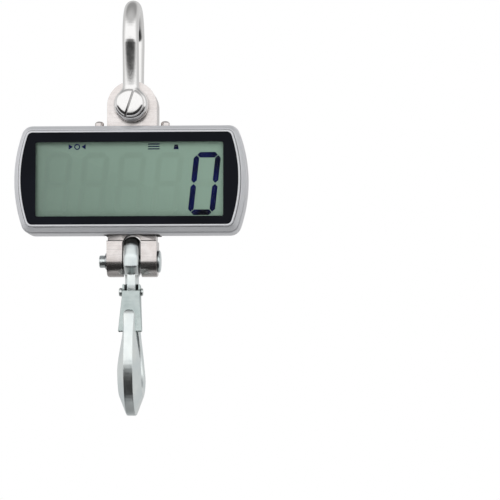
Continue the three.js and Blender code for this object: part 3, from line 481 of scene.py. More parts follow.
def varied_color(made, pattern, dark, light, start=0.3, end=0.7):
    node = new_node(made, "ValToRGB", Fac=pattern)
    for stop, position, color in zip(node.color_ramp.elements, (start, end), (dark, light)):
        stop.position = position
        stop.color = (*color, 1)
    fill_shader(made, "Base Color", node.outputs["Color"])


def shadowed_crevices(made, reach, dark):
    """Darkens the colour where other surfaces stand close."""
    socket = made.node_tree.nodes["Principled BSDF"].inputs["Base Color"]
    base = socket.links[0].from_socket if socket.is_linked else socket.default_value
    near = new_node(made, "AmbientOcclusion", {"samples": 8}, Distance=reach * MM)
    shadow = ranged(made, near.outputs["AO"], dark, 1.0, 0.25, 0.8)
    mix = new_node(made, "Mix", {"data_type": "RGBA", "blend_type": "MULTIPLY"}, Factor=1.0, A=base, B=shadow)
    fill_shader(made, "Base Color", mix.outputs["Result"])


def bumped(made, pattern, depth, strength=1.0):
    node = new_node(made, "Bump", Strength=strength, Distance=depth * MM, Height=pattern)
    fill_shader(made, "Normal", node.outputs["Normal"])


def chrome():
    made = principled("chrome", shade(240, 239, 238), 0.1, 1.0)
    varied_roughness(made, noise(made, 260), 0.1, 0.18)
    bumped(made, noise(made, 90, 2), 0.02)
    shadowed_crevices(made, 2.5, 0.12)
    return made


def nickel():
    """Nickel plate over machined steel, with fine tool marks along X."""
    stretch = (0.04, 1, 1)
    made = principled("nickel", shade(230, 224, 222), 0.24, 1.0)
    varied_color(made, noise(made, 120), shade(221, 214, 211), shade(236, 231, 229))
    varied_roughness(made, noise(made, 900, 2, stretch), 0.18, 0.3)
    bumped(made, noise(made, 2600, 2, stretch), 0.004)
    shadowed_crevices(made, 4, 0.1)
    return made


def zinc():
    """Bright zinc plate over a drop forging, a little uneven."""
    made = principled("zinc", shade(226, 234, 234), 0.26, 1.0)
    varied_color(made, noise(made, 70, 4), shade(228, 237, 238), shade(246, 251, 249))
    varied_roughness(made, noise(made, 240, 5), 0.27, 0.37)
    bumped(made, noise(made, 300, 4), 0.012, 0.7)
    shadowed_crevices(made, 2.5, 0.3)
    return made


def latch_plate():
    made = principled("latch_plate", shade(188, 199, 197), 0.38, 1.0)
    varied_color(made, noise(made, 130, 4), shade(182, 194, 193), shade(206, 216, 214))
    varied_roughness(made, noise(made, 600, 3, (0.1, 1, 1)), 0.3, 0.44)
    bumped(made, noise(made, 900, 3, (0.1, 1, 1)), 0.008)
    shadowed_crevices(made, 2, 0.2)
    return made


def plain_steel():
    made = principled("plain_steel", shade(206, 208, 210), 0.3, 1.0)
    varied_roughness(made, noise(made, 500, 3), 0.22, 0.4)
    varied_color(made, noise(made, 200), shade(190, 193, 196), shade(214, 216, 218))
    bumped(made, noise(made, 1500, 2), 0.004)
    return made


def silver_paint():
    """Silver paint with fine metal flake, over a moulded shell with a slight orange peel."""
    made = principled("silver_paint", shade(214, 215, 219), 0.4, 0.6,
                      Coat_Weight=0.15, Coat_Roughness=0.15)
    varied_color(made, noise(made, 5200, 1), shade(206, 207, 211), shade(222, 223, 226), 0.35, 0.65)
    varied_roughness(made, noise(made, 700, 2), 0.36, 0.46)
    bumped(made, noise(made, 1100, 2), 0.006, 0.5)
    shadowed_crevices(made, 1.3, 0.08)
    return made


def border_print():
    made = principled("border_print", shade(16, 18, 23), 0.16, 0.0, Specular_IOR_Level=0.06)
    varied_color(made, noise(made, 25, 1), shade(9, 11, 16), shade(14, 16, 23))
    varied_roughness(made, noise(made, 300, 2), 0.12, 0.2)
    return made


def clear_panel():
    made = principled("clear_panel", (0, 0, 0), 0.05, 0.0, Alpha=0.05)
    varied_roughness(made, noise(made, 200, 2), 0.03, 0.09)
    return made


def display_material(name, color, dark, light):
    """Grey-green and slowly clouded, and lighter towards the right."""
    made = principled(name, color, 0.5, 0.0, Specular_IOR_Level=0.1)
    where = new_node(made, "TexCoord").outputs["Object"]
    split = new_node(made, "SeparateXYZ", Vector=where)
    across = ranged(made, split.outputs["X"], 0, 0.8, -0.075, 0.06)
    cloud = math_node(made, "MULTIPLY_ADD", noise(made, 14, 2), 0.3, across)
    varied_color(made, cloud, dark, light, 0.1, 0.95)
    return made


def display_glass():
    made = display_material("display_glass", shade(126, 148, 135), shade(117, 137, 125), shade(138, 163, 148))
    bumped(made, noise(made, 3000, 1), 0.002)
    return made


def digit_ink():
    made = principled("digit_ink", shade(14, 18, 34), 0.5, 0.0, Specular_IOR_Level=0.05)
    varied_color(made, noise(made, 60, 1), shade(8, 10, 20), shade(14, 22, 84))
    return made


def rubber():
    made = principled("rubber", shade(30, 30, 31), 0.75)
    varied_color(made, noise(made, 300), shade(24, 24, 25), shade(38, 38, 39))
    bumped(made, noise(made, 2200, 3), 0.02)
    return made


def moulded(name, color):
    made = principled(name, color, 0.5)
    darker = tuple(part * 0.85 for part in color)
    varied_color(made, noise(made, 60), darker, color)
    varied_roughness(made, noise(made, 800, 2), 0.45, 0.6)
    bumped(made, noise(made, 1800, 2), 0.012)
    return made


def circuit_board():
    """Green solder mask, with lighter runs where the copper lies under it."""
    made = principled("circuit_board", shade(24, 92, 52), 0.35)
    runs = noise(made, 900, 0, (1, 1, 0.15))
    varied_color(made, runs, shade(16, 74, 42), shade(44, 120, 70), 0.48, 0.52)
    bumped(made, runs, 0.02)
    return made


def battery_sleeve():
    made = principled("battery_sleeve", shade(150, 154, 160), 0.3, 0.4)
    varied_color(made, noise(made, 30, 1, (1, 0.1, 0.1)), shade(60, 64, 70), shade(170, 174, 180), 0.49, 0.51)
    bumped(made, noise(made, 700, 2), 0.004)
    return made


CLEAR = clear_panel()
INK = digit_ink()
FAINT = display_material("faint_ink", shade(118, 139, 127), shade(114, 133, 122), shade(134, 158, 143))
SLOT_MATERIALS = {
    "polished_steel": chrome(),
    "nickel_steel": nickel(),
    "zinc_steel": zinc(),
    "latch_steel": latch_plate(),
    "plain_steel": plain_steel(),
    "silver_plastic": silver_paint(),
    "window_panel": border_print(),
    "lcd_glass": display_glass(),
    "white_plastic": moulded("white_plastic", shade(226, 226, 220)),
    "black_plastic": moulded("black_plastic", shade(38, 38, 40)),
    "black_rubber": rubber(),
    "circuit_board": circuit_board(),
    "battery_sleeve": battery_sleeve(),
}


# ---- Studio ----

def add_camera():
    data = bpy.data.cameras.new("camera")
    data.lens = 180.0
    data.sensor_width = 36.0
    data.clip_end = 50
    camera = bpy.data.objects.new("camera", data)
    camera.location = (0.1878, -1.992, -0.3411)
    target = Vector((0.0940, 0, -0.1890))
    ahead = target - camera.location
    camera.rotation_euler = ahead.to_track_quat("-Z", "Y").to_euler()
    bpy.context.collection.objects.link(camera)
    bpy.context.scene.camera = camera


def add_floor():
    """A pale floor under the hanging scale, left out of reflections."""
    half, top = 2600, HOOK_PIN_Z - 290
    floor = prism("floor", "z", rectangle(half, half), (top - 10, top))
    made = principled("floor_paint", (0.9, 0.9, 0.9), 0.9)
    varied_color(made, noise(made, 2, 2), (0.86, 0.86, 0.86), (0.92, 0.92, 0.92))
    floor.data.materials.append(made)
    floor.visible_glossy = False


def add_light(name, at, size, power):
    data = bpy.data.lights.new(name, "AREA")
    data.size = size
    data.energy = power
    light = bpy.data.objects.new(name, data)
    light.location = at
    ahead = Vector((0, 0, HOUSING_Z * MM)) - light.location
    light.rotation_euler = ahead.to_track_quat("-Z", "Y").to_euler()
    light.visible_glossy = False
    bpy.context.collection.objects.link(light)


def studio_world():
    """A white studio round the scale, with the dark of the room low in front of it."""
    world = bpy.data.worlds.new("studio")
    bpy.context.scene.world = world
    world.use_nodes = True
    world.node_tree.nodes.clear()
    white, black = (1, 1, 1, 1), (0, 0, 0, 1)

    def step(value, start, end):
        smooth = {"interpolation_type": "SMOOTHSTEP"}
        node = new_node(world, "MapRange", smooth, Value=value, From_Min=start, From_Max=end)
        return node.outputs["Result"]

    def product(first, *others):
        for value in others:
            first = math_node(world, "MULTIPLY", first, value)
        return first

    def dimmed(value, share):
        return math_node(world, "MULTIPLY_ADD", value, -share, 1.0)

    where = new_node(world, "TexCoord").outputs["Generated"]
    split = new_node(world, "SeparateXYZ", Vector=where)
    x, y, z = (split.outputs[axis] for axis in "XYZ")
    level_reach = math_node(world, "SQRT", math_node(world, "ADD", product(x, x), product(y, y)))
    forward = math_node(world, "DIVIDE", y, math_node(world, "ADD", level_reach, 0.001))
    room = product(step(z, 0.0, -0.12), step(z, -0.985, -0.93), step(forward, 0.4, -0.3))
    ceiling = step(z, 0.5, 0.8)
    behind = step(y, -0.45, 0.4)
    under = step(z, -0.2, -0.9)
    level = product(dimmed(room, 0.96), dimmed(ceiling, 0.5), dimmed(behind, 0.42), dimmed(under, 0.55))

    tone = new_node(world, "Mix", {"data_type": "RGBA"}, Factor=level, A=black, B=white)
    lit = new_node(world, "Background", Color=tone.outputs["Result"], Strength=1.1)
    seen = new_node(world, "Background", Color=white)
    mix = new_node(world, "MixShader", Fac=new_node(world, "LightPath").outputs["Is Camera Ray"])
    fill(world, mix.inputs[1], lit.outputs[0])
    fill(world, mix.inputs[2], seen.outputs[0])
    new_node(world, "OutputWorld", Surface=mix.outputs[0])


add_camera()
studio_world()
add_floor()
add_light("key", (-0.6, -1.1, 1.1), 0.8, 16)
bpy.context.scene.view_settings.view_transform = "Standard"


# ---- Shackle ----

def bow_line():
    """The middle of the bar in Y and Z, from the front eye over the top to the rear eye."""
    lean = math.radians(10.5)
    side = (BOW_R * math.cos(lean), BOW_Z - BOW_R * math.sin(lean))
    reach = 24
    down = (side[0] - reach * math.sin(lean), side[1] - reach * math.cos(lean))
    leg = curve([(EYE_MIDDLE_Y, SHACKLE_PIN_Z), (EYE_MIDDLE_Y, SHACKLE_PIN_Z + 12), down, side], 20)
    over = arc((0, BOW_Z), BOW_R, -lean, math.pi + lean, 44)
    rear = leg + over[1:-1]
    return rear + [(-y, z) for y, z in reversed(leg)]


def soft_union(first, second, softness):
    """The union of two distance functions' values, with a fillet where they meet."""
    share = np.clip(0.5 + 0.5 * (second - first) / softness, 0, 1)
    return second * (1 - share) + first * share - softness * share * (1 - share)


def line_distance(points, line):
    """Distance in Y and Z from points to a line of many short pieces."""
    nearest = np.full(len(points), 1e9)
    yz = points[:, 1:]
    for start, end in zip(line, line[1:]):
        start, step = np.array(start), np.subtract(end, start)
        share = np.clip(((yz - start) @ step) / (step @ step), 0, 1)
        nearest = np.minimum(nearest, np.linalg.norm(yz - start - share[:, None] * step, axis=1))
    return nearest


def shackle_distance(points, line):
    bar = np.hypot(points[:, 0], line_distance(points, line)) - BAR_R
    along = np.abs(points[:, 1]) - EYE_MIDDLE_Y
    half = (EYE_OUTER_Y - EYE_INNER_Y) / 2
    belly = EYE_R - (EYE_R - EYE_END_R) * np.where(along > 0, (along / half) ** 2, 0.3 * (along / half) ** 2)
    edge = 1.2
    out = np.hypot(points[:, 0], points[:, 2] - SHACKLE_PIN_Z) - belly + edge
    end = np.abs(along) - half + edge
    eye = np.hypot(np.maximum(out, 0), np.maximum(end, 0)) + np.minimum(np.maximum(out, end), 0) - edge
    return soft_union(bar, eye, 3.5)


def add_shackle():
    line = bow_line()
    bow = tube("shackle", [(0, y, z) for y, z in line], BAR_R, 32)
    eyes = [rod("eye", "y", EYE_R - 0.7, sorted((side * EYE_INNER_Y, side * EYE_OUTER_Y)),
                SHACKLE_PIN) for side in SIDES]
    join(bow, *eyes)
    remeshed(bow, 0.55)
    drawn_to(bow, lambda points: shackle_distance(points, line))
    cut(bow, rod("bore", "y", SHACKLE_PIN_R + FIT, (-40, 40), SHACKLE_PIN))
    finished(bow, "shackle", "polished_steel", ["shackle_bow"], 40)


def add_shackle_pin():
    """A screw pin with a domed, slotted head."""
    y = span("shackle_pin")[1]
    back = -EYE_OUTER_Y - FIT
    crown, rim = 0.35, 2.9
    flat = PIN_HEAD_R - rim
    crest = [(flat * i / 8, y[0] + crown * (i / 8) ** 2) for i in range(8)]
    lean = math.atan(2 * crown / flat)
    for i in range(13):
        angle = lean + (math.pi / 2 - lean) * i / 12
        crest.append((PIN_HEAD_R - rim * (1 - math.sin(angle)) / (1 - math.sin(lean)),
                      y[0] + crown + rim * (math.cos(lean) - math.cos(angle))))
    profile = crest + rounded([
        (PIN_HEAD_R, y[0] + crown + rim, 0),
        (PIN_HEAD_R, back, 0.8),
        (SHACKLE_PIN_R, back, 0),
        (SHACKLE_PIN_R, y[1], 1.0),
        (0, y[1], 0),
    ])
    pin = turned("screw_pin", "y", profile, SHACKLE_PIN, 128)
    half, depth = 0.95, 3.0
    slot = prism("slot", "y", rectangle(half, PIN_HEAD_R + 2), (y[0] - 1, y[0] + depth))
    cut(pin, tilted(slot, PIN_SLOT_LEAN, "Y", SHACKLE_PIN))
    bevelled(pin, 0.3, 2, 50)
    finished(pin, "shackle", "polished_steel", ["shackle_pin"])


# ---- Load cell ----

def add_load_cell():
    bottom = HOOK_PIN_Z - CELL_HALF_T
    slot_z = HOOK_PIN_Z + FORK_SLOT_TOP - FORK_SLOT_HALF
    right = rounded([
        (CELL_HALF_W, SHACKLE_PIN_Z, 0), (CELL_HALF_W, NECK_TOP, 0.3), (NECK_HALF_W, NECK_TOP, 0.3),
        (NECK_HALF_W, NECK_BOTTOM, 0.3), (CELL_HALF_W, NECK_BOTTOM, 0.3), (CELL_HALF_W, bottom, 1.5),
        (FORK_SLOT_HALF, bottom, 0.6), (FORK_SLOT_HALF, slot_z, 0)], steps=3)
    crown = arc((0, SHACKLE_PIN_Z), CELL_HALF_W, 0, math.pi, 64)
    roof = arc((0, slot_z), FORK_SLOT_HALF, math.pi, 0, 24)
    outline = crown[:-1] + [(-x, z) for x, z in right] + roof[1:] + list(reversed(right))[1:-1]
    cell = prism("cell", "y", outline, (-CELL_HALF_T, CELL_HALF_T))
    top = SHACKLE_PIN_Z + CELL_HALF_W + 5
    sole = arc((0, HOOK_PIN_Z), CELL_HALF_T, math.pi, TURN, 40)
    side = rounded([
        (CELL_HALF_T, HOOK_PIN_Z, 0), (CELL_HALF_T, NECK_BOTTOM, 0.5), (NECK_HALF_T, NECK_BOTTOM, 0.5),
        (NECK_HALF_T, NECK_TOP, 0.5), (CELL_HALF_T, NECK_TOP, 0.5), (CELL_HALF_T, top, 0)], steps=3)
    front_to_back = sole + side[1:] + [(-y, z) for y, z in reversed(side[1:])]
    common(cell, prism("side", "x", front_to_back, (-CELL_HALF_W - 2, CELL_HALF_W + 2)))
    bevelled(cell, 0.7, 3, 50)
    bolt = (0, -6.5, HOUSING_Z + HALF_H - 19)
    pocket_y = CELL_HALF_T - 1.8
    cut(cell,
        rod("upper_bore", "y", SHACKLE_PIN_R + FIT, (-30, 30), SHACKLE_PIN),
        rod("lower_bore", "x", HOOK_PIN_R + FIT, (-30, 30), HOOK_PIN),
        *[rod("pocket", "y", 12.3, sorted((s * pocket_y, s * 20)), HOUSING_MIDDLE) for s in SIDES],
        *[rod("bolt_hole", "x", 2.3, sorted((s * 10, s * 30)), bolt, 24) for s in SIDES])
    finished(cell, "scale_body", "nickel_steel", ["load_cell"], 30)


# ---- Housing ----

def housing_outline(half_w, half_h, inset):
    """The housing's outline or one inside it: bowed sides, and corners with the same number of points."""
    corner = CORNER_R - 0.75 * inset
    side_r = SIDE_R - inset
    side_x = half_w - SIDE_R
    corner_z = half_h - inset - corner
    reach = side_r - corner
    corner_x = side_x + math.sqrt(reach ** 2 - corner_z ** 2)
    turn = math.asin(corner_z / reach)
    quadrant = arc((side_x, 0), side_r, 0, turn, 14)[:-1]
    quadrant += arc((corner_x, corner_z), corner, turn, math.pi / 2, 12)
    quadrant += [(corner_x * (1 - i / 12), half_h - inset) for i in range(1, 13)]
    upper = quadrant + [(-x, z) for x, z in reversed(quadrant[:-1])]
    return upper + [(x, -z) for x, z in reversed(upper[1:-1])]


def outline_ring(half_w, half_h, inset, y):
    return [(x, y, z + HOUSING_Z) for x, z in housing_outline(half_w, half_h, inset)]


def add_bezel():
    """The front frame: a sloped band, a fine groove, and the lip that holds the window."""
    front, rear = BEZEL[1]
    seat = WINDOW[1][1] + FIT
    profile = rounded([
        (BEZEL_STEP, rear, 0), (BEZEL_STEP, rear - 2.4, 2.2), (4.5, front + 0.6, 0.6), (4.6, front + 1.6, 0),
        (5.05, front + 1.6, 0), (5.1, front, 0.2), (WINDOW_INSET, front, 0.15), (WINDOW_INSET, seat, 0),
        (OPENING_INSET, seat, 0), (OPENING_INSET, front + 5, 0), (6.2, front + 5, 0), (3.2, rear - 3, 0),
        (3.2, rear, 0)], steps=6)
    rings = [outline_ring(HALF_W, HALF_H, inset, y) for inset, y in profile]
    bezel = loft("bezel", rings, ring_shaped=True)
    finished(bezel, "scale_body", "silver_plastic", ["front_bezel"], 40)


def rear_sizes(y, inset):
    """The rear shell's half width and half height at a depth: level at first, then rounding in."""
    rear = REAR[1][1]
    round_start = rear - REAR_ROUND
    ease = min(1.0, max(0.0, (y - TAPER_Y) / (round_start - TAPER_Y))) ** 1.6
    half_w = HALF_W + (REAR_HALF_W - HALF_W) * ease
    half_h = HALF_H + (REAR_HALF_H - HALF_H) * ease
    over = max(0.0, y - round_start) / REAR_ROUND
    tuck = REAR_TUCK * (1 - math.sqrt(max(0.0, 1 - over ** 2)))
    return half_w - inset - tuck, half_h - inset - tuck


def rear_shape(name, front, rear, inset, edge=0.0):
    """The rear shell or the hollow in it, with its front edge rounded off."""
    turns = [math.pi / 2 * i / 6 for i in range(6)] if edge else []
    stations = [(front + edge * (1 - math.cos(a)), edge * (1 - math.sin(a))) for a in turns]
    stations.append((front + edge, 0))
    round_start = rear - REAR_ROUND
    stations += [(TAPER_Y + (round_start - TAPER_Y) * i / 14, 0) for i in range(15)]
    stations += [(round_start + REAR_ROUND * math.sin(math.pi / 2 * i / 8), 0) for i in range(1, 9)]
    rings = []
    for y, tuck in stations:
        half_w, half_h = rear_sizes(y, inset)
        rings.append(outline_ring(half_w, half_h, tuck, y))
    return loft(name, rings)


def add_rear_housing():
    front, rear = REAR[1]
    shell = rear_shape("rear_shell", front, rear, 0, 1.4)
    inner = rear_shape("inner", front - 2, rear - REAR_WALL, WALL)
    cut(shell, inner)
    tall = (HOUSING_Z - 60, HOUSING_Z + 60)
    ledge = DOOR[1][0] - 1.3
    door = rectangle(DOOR[0][1] + FIT, DOOR[2][1] - HOUSING_Z + FIT, 3.0)
    hatch = rectangle(54.5, 17.5, 1.0)
    cuts = [
        prism("cell_hole", "z", rectangle(CELL_HOLE_HALF_W, CELL_HOLE_HALF_T, 1.0), tall),
        prism("door_seat", "y", door, (ledge, rear + 1), HOUSING_MIDDLE),
        prism("hatch", "y", hatch, (0, rear), HOUSING_MIDDLE),
        rod("button_hole", "y", BUTTON_R + FIT, (0, rear + 1), BUTTON_MIDDLE),
        rod("button_seat", "y", 6.4, (rear - 1.3, rear + 1), BUTTON_MIDDLE),
    ]
    for side in SIDES:
        x, y, _ = map(middle, span("top_screw_right" if side > 0 else "top_screw_left"))
        cuts.append(rod("screw_hole", "z", 2.3, (HOUSING_Z, HOUSING_Z + 60), (x, y, 0), 32))
        cuts.append(rod("door_screw_hole", "y", 1.8, (0, rear), (side * DOOR_SCREW_X, 0, HOUSING_Z), 24))
        for level in SIDES:
            at = (side * CASE_SCREW_X, 0, HOUSING_Z + level * CASE_SCREW_Z)
            cuts.append(rod("case_screw_pocket", "y", 3.6, (-12, rear + 1), at, 40))
            cuts.append(rod("case_screw_hole", "y", 1.8, (front - 1, 0), at, 24))
    cut(shell, *cuts)
    finished(shell, "scale_body", "silver_plastic", ["rear_housing"], 32)


def add_gasket():
    front, rear = span("case_gasket")[1]
    profile = [(1.8, front), (1.8, rear), (2.5, rear), (2.5, front)]
    rings = [outline_ring(HALF_W, HALF_H, inset, y) for inset, y in profile]
    finished(loft("case_seal", rings, ring_shaped=True), "scale_body", "black_rubber", ["case_gasket"])


# ---- Display ----

def add_window():
    """A clear panel whose face carries a black printed border."""
    front, rear = WINDOW[1]
    print_t = 0.1
    inset = WINDOW_INSET + 0.08
    edge = 0.05
    profile = [(inset + edge, front + print_t), (inset, front + print_t + edge), (inset, rear)]
    panel = loft("clear_window", [outline_ring(HALF_W, HALF_H, d, y) for d, y in profile])
    finished(panel, "scale_body", "window_panel", ["window_panel"], material=CLEAR)
    faces = [outline_ring(HALF_W, HALF_H, inset + edge, y) for y in (front, front + print_t)]
    border = loft("window_border", faces)
    opening = rectangle(LCD_WINDOW_HALF_W, LCD_WINDOW_HALF_H, 1.3)
    cut(border, prism("opening", "y", opening, (front - 1, rear + 1), (0, 0, LCD_WINDOW_Z)))
    finished(border, "scale_body", "window_panel")


def stroke(start, end, half):
    """One display segment with mitred ends."""
    start, end = Vector(start), Vector(end)
    ahead = (end - start).normalized() * half
    side = Vector((-ahead.y, ahead.x))
    return [start, start + ahead + side, end - ahead + side, end, end - ahead - side, start + ahead - side]


def digit_strokes():
    """The seven segments round the digit's middle, from the top clockwise, the middle one last."""
    w, h = DIGIT_HALF_W, DIGIT_HALF_H
    gap = 0.35
    corners = {"tl": (-w, h), "tr": (w, h), "ml": (-w, 0), "mr": (w, 0), "bl": (-w, -h), "br": (w, -h)}
    pairs = ["tl tr", "tr mr", "mr br", "br bl", "bl ml", "ml tl", "ml mr"]
    shapes = []
    for pair in pairs:
        start, end = [Vector(corners[key]) for key in pair.split()]
        ahead = (end - start).normalized() * gap
        shapes.append(stroke(start + ahead, end - ahead, STROKE / 2))
    return shapes


def add_segments(name, x, shapes, y, material):
    points, faces = [], []
    for shape in shapes:
        start = len(points)
        count = len(shape)
        for depth in (y, y + INK_T):
            points += [(x + a + b * SLANT, depth, DIGIT_Z + b) for a, b in shape]
        faces += [tuple(range(start, start + count)), tuple(range(start + count, start + 2 * count))]
        for i in range(count):
            after = (i + 1) % count
            faces.append((start + i, start + after, start + after + count, start + i + count))
    finished(piece(name, points, faces), "scale_body", "lcd_glass", material=material)


def add_marks(y):
    """Three generic signs over the digits: zero, steady and unit."""
    depth = (y, y + INK_T)
    zero = (ZERO_MARK_X, 0, MARK_Z)
    shapes = []
    for side in SIDES:
        arrow = [(side * 6.8, 2.2), (side * 3.4, 0), (side * 6.8, -2.2)]
        shapes.append(prism("arrow", "y", arrow, depth, zero))
    ring = rod("ring", "y", 2.4, depth, zero, 40)
    shapes.append(cut(ring, rod("inside", "y", 1.5, (y - 1, y + 1), zero, 40)))
    for level in (-1.9, 0, 1.9):
        shapes.append(prism("bar", "y", rectangle(4.6, 0.45), depth, (STEADY_MARK_X, 0, MARK_Z + level)))
    weight = [(-2.1, -2.3), (2.1, -2.3), (1.3, 1.4), (-1.3, 1.4)]
    shapes.append(prism("weight", "y", weight, depth, (UNIT_MARK_X, 0, MARK_Z)))
    data = bmesh.new()
    for shape in shapes:
        data.from_mesh(shape.data)
        bpy.data.objects.remove(shape)
    marks = piece("display_marks", [(0, 0, 0)], [])
    data.to_mesh(marks.data)
    data.free()
    finished(marks, "scale_body", "lcd_glass", material=INK)


def add_display():
    front, rear = LCD[1]
    half_h = (LCD[2][1] - LCD[2][0]) / 2
    face = rectangle(LCD[0][1], half_h, 0.6)
    glass = prism("display_glass", "y", face, (front + 0.15, rear), HOUSING_MIDDLE)
    bevelled(glass, 0.2, 2)
    finished(glass, "scale_body", "lcd_glass", ["lcd_panel"])
    shapes = digit_strokes()
    for index in range(DIGITS):
        x = LAST_DIGIT_X - DIGIT_PITCH * (DIGITS - 1 - index)
        lit = index == DIGITS - 1
        if lit:
            add_segments("digit_lit", x, shapes[:-1], front + 0.08, INK)
        faint = shapes[-1:] if lit else shapes
        add_segments(f"digit_faint_{index}", x, faint, front + 0.1, FAINT)
    add_marks(front + 0.08)


# ---- Small hardware on the housing ----

def add_top_screws():
    for hand in ("left", "right"):
        node = f"top_screw_{hand}"
        x, y, z = span(node)
        at = (middle(x), middle(y), 0)
        radius = (x[1] - x[0]) / 2
        crown = z[1]
        seat = crown - 5
        height = 2.2
        profile = dome(radius, height, crown)[:0:-1] + rounded([
            (radius, crown - height, 0), (radius, seat, 0.3), (2.0, seat, 0), (2.0, z[0], 0.4), (0, z[0], 0)])
        screw = turned(f"housing_screw_{hand}", "z", profile, at, 64)
        cut(screw, rod("socket", "z", 1.5, (crown - 2, crown + 1), at, 6))
        finished(screw, "scale_body", "nickel_steel", [node])


def add_door():
    front, rear = DOOR[1]
    half_w, half_h = DOOR[0][1], DOOR[2][1] - HOUSING_Z
    door = prism("battery_lid", "y", rectangle(half_w, half_h, 2.7), (front, rear), HOUSING_MIDDLE)
    bevelled(door, 0.4, 3)
    recess = rectangle(22, 1.2, 1.0, (0, 14))
    tools = [prism("finger_recess", "y", recess, (rear - 0.8, rear + 1), HOUSING_MIDDLE)]
    for side in SIDES:
        at = (side * DOOR_SCREW_X, 0, HOUSING_Z)
        tools.append(rod("hole", "y", 1.8, (0, 50), at, 32))
        tools.append(rod("seat", "y", 3.0, (rear - 1, 50), at, 48))
    cut(door, *tools)
    finished(door, "battery_door", "silver_plastic", ["battery_door"])


def add_door_screws():
    for hand, side in (("left", -1), ("right", 1)):
        node = f"door_screw_{hand}"
        x, y, _ = span(node)
        at = (middle(x), 0, HOUSING_Z)
        head = (x[1] - x[0]) / 2
        profile = rounded([(0, y[0], 0), (1.5, y[0], 0.4), (1.5, y[1] - 1.6, 0), (head, y[1] - 1.6, 0),
                           (head, y[1], 0.4), (0, y[1], 0)], steps=4)
        screw = turned(f"lid_screw_{hand}", "y", profile, at, 48)
        slot = prism("slot", "y", rectangle(0.5, 4), (y[1] - 0.8, y[1] + 1))
        cut(screw, tilted(slot, -side * 0.5, "Y", at))
        finished(screw, "battery_door", "plain_steel", [node])


def add_power_button():
    """A button with a raised ring that a finger can find, in a rubber seal."""
    y = span("power_button")[1]
    flange = y[0] + 1
    profile = rounded([
        (0, y[0], 0), (BUTTON_R + 0.9, y[0], 0.2), (BUTTON_R + 0.9, flange, 0.2), (BUTTON_R, flange, 0),
        (BUTTON_R, y[1] - 0.3, 0.5), (3.2, y[1] - 0.3, 0), (2.9, y[1], 0.1), (2.3, y[1], 0.1),
        (2.0, y[1] - 0.3, 0), (0, y[1] - 0.35, 0)], steps=4)
    button = turned("push_button", "y", profile, BUTTON_MIDDLE, 72)
    finished(button, "power_button", "black_plastic", ["power_button"])
    y = span("button_seal")[1]
    ring = rounded([(BUTTON_R + FIT, y[0], 0), (6.1, y[0], 0), (6.1, y[1] - 0.3, 0.3),
                    (5.5, y[1], 0.2), (BUTTON_R + FIT, y[1], 0.2)], closed=True, steps=4)
    seal = turned("button_collar", "y", ring, BUTTON_MIDDLE, 72)
    finished(seal, "scale_body", "black_rubber", ["button_seal"])


# ---- Hook pin ----

def add_hook_pin():
    tail, head = span("hook_pin")[0]
    clip = span("hook_pin_clip")[0]
    groove = 4.2
    head_r = 8.8
    crown_r = head_r * 0.93
    height = 0.9
    seat = CELL_HALF_W + FIT
    profile = rounded([
        (0, tail, 0), (HOOK_PIN_R, tail, 1.0), (HOOK_PIN_R, clip[0] - FIT, 0), (groove, clip[0] - FIT, 0),
        (groove, clip[1] + FIT, 0), (HOOK_PIN_R, clip[1] + FIT, 0), (HOOK_PIN_R, seat, 0),
        (head_r, seat, 0.3), (head_r, head - height, 0.5), (crown_r, head - height, 0)], steps=4)
    pin = turned("cross_pin", "x", profile + dome(crown_r, height, head)[1:], HOOK_PIN, 96)
    finished(pin, "scale_body", "zinc_steel", ["hook_pin"])


def add_clip():
    """An open retaining ring in the pin's groove."""
    x = span("hook_pin_clip")[0]
    outer, inner = 6.8, 4.5
    mouth = 0.36
    ring = arc((0, 0), outer, -math.pi / 2 + mouth, 1.5 * math.pi - mouth, 60)
    back = arc((0, 0), inner, 1.5 * math.pi - mouth * 1.2, -math.pi / 2 + mouth * 1.2, 48)
    clip = prism("retaining_ring", "x", ring + back, x, HOOK_PIN)
    bevelled(clip, 0.15, 2, 50)
    finished(clip, "scale_body", "plain_steel", ["hook_pin_clip"])


# ---- Hook and latch ----

def hang(made):
    """Puts a piece that is drawn about the hook pin where the hook hangs at rest."""
    return tilted(made, HOOK_HANG, "X", (HOOK_X, 0, HOOK_PIN_Z))


def hook_section(inner, outer, inner_half, belly_half, outer_half, belly):
    """A rounded six-sided section between a point on the inside and one on the outside of the bend."""
    inner, outer = Vector(inner), Vector(outer)
    depth = (outer - inner).length
    corners = [(-inner_half, 0), (inner_half, 0), (belly_half, depth * belly),
               (outer_half, depth), (-outer_half, depth), (-belly_half, depth * belly)]
    radii = [inner_half * 0.35, inner_half * 0.35, 2.2, outer_half * 0.3, outer_half * 0.3, 2.2]
    line = rounded([(a, b, min(r, depth * 0.12)) for (a, b), r in zip(corners, radii)], closed=True, steps=5)
    ahead = (outer - inner).normalized()
    return [(a, inner.x + ahead.x * b, inner.y + ahead.y * b) for a, b in line]


def blend_of(stops, share):
    """A value between stops of (share, value), turning smoothly from one to the next."""
    for (start, low), (end, high) in zip(stops, stops[1:]):
        if share <= end:
            t = (share - start) / (end - start)
            return low + (high - low) * t * t * (3 - 2 * t)
    return stops[-1][1]


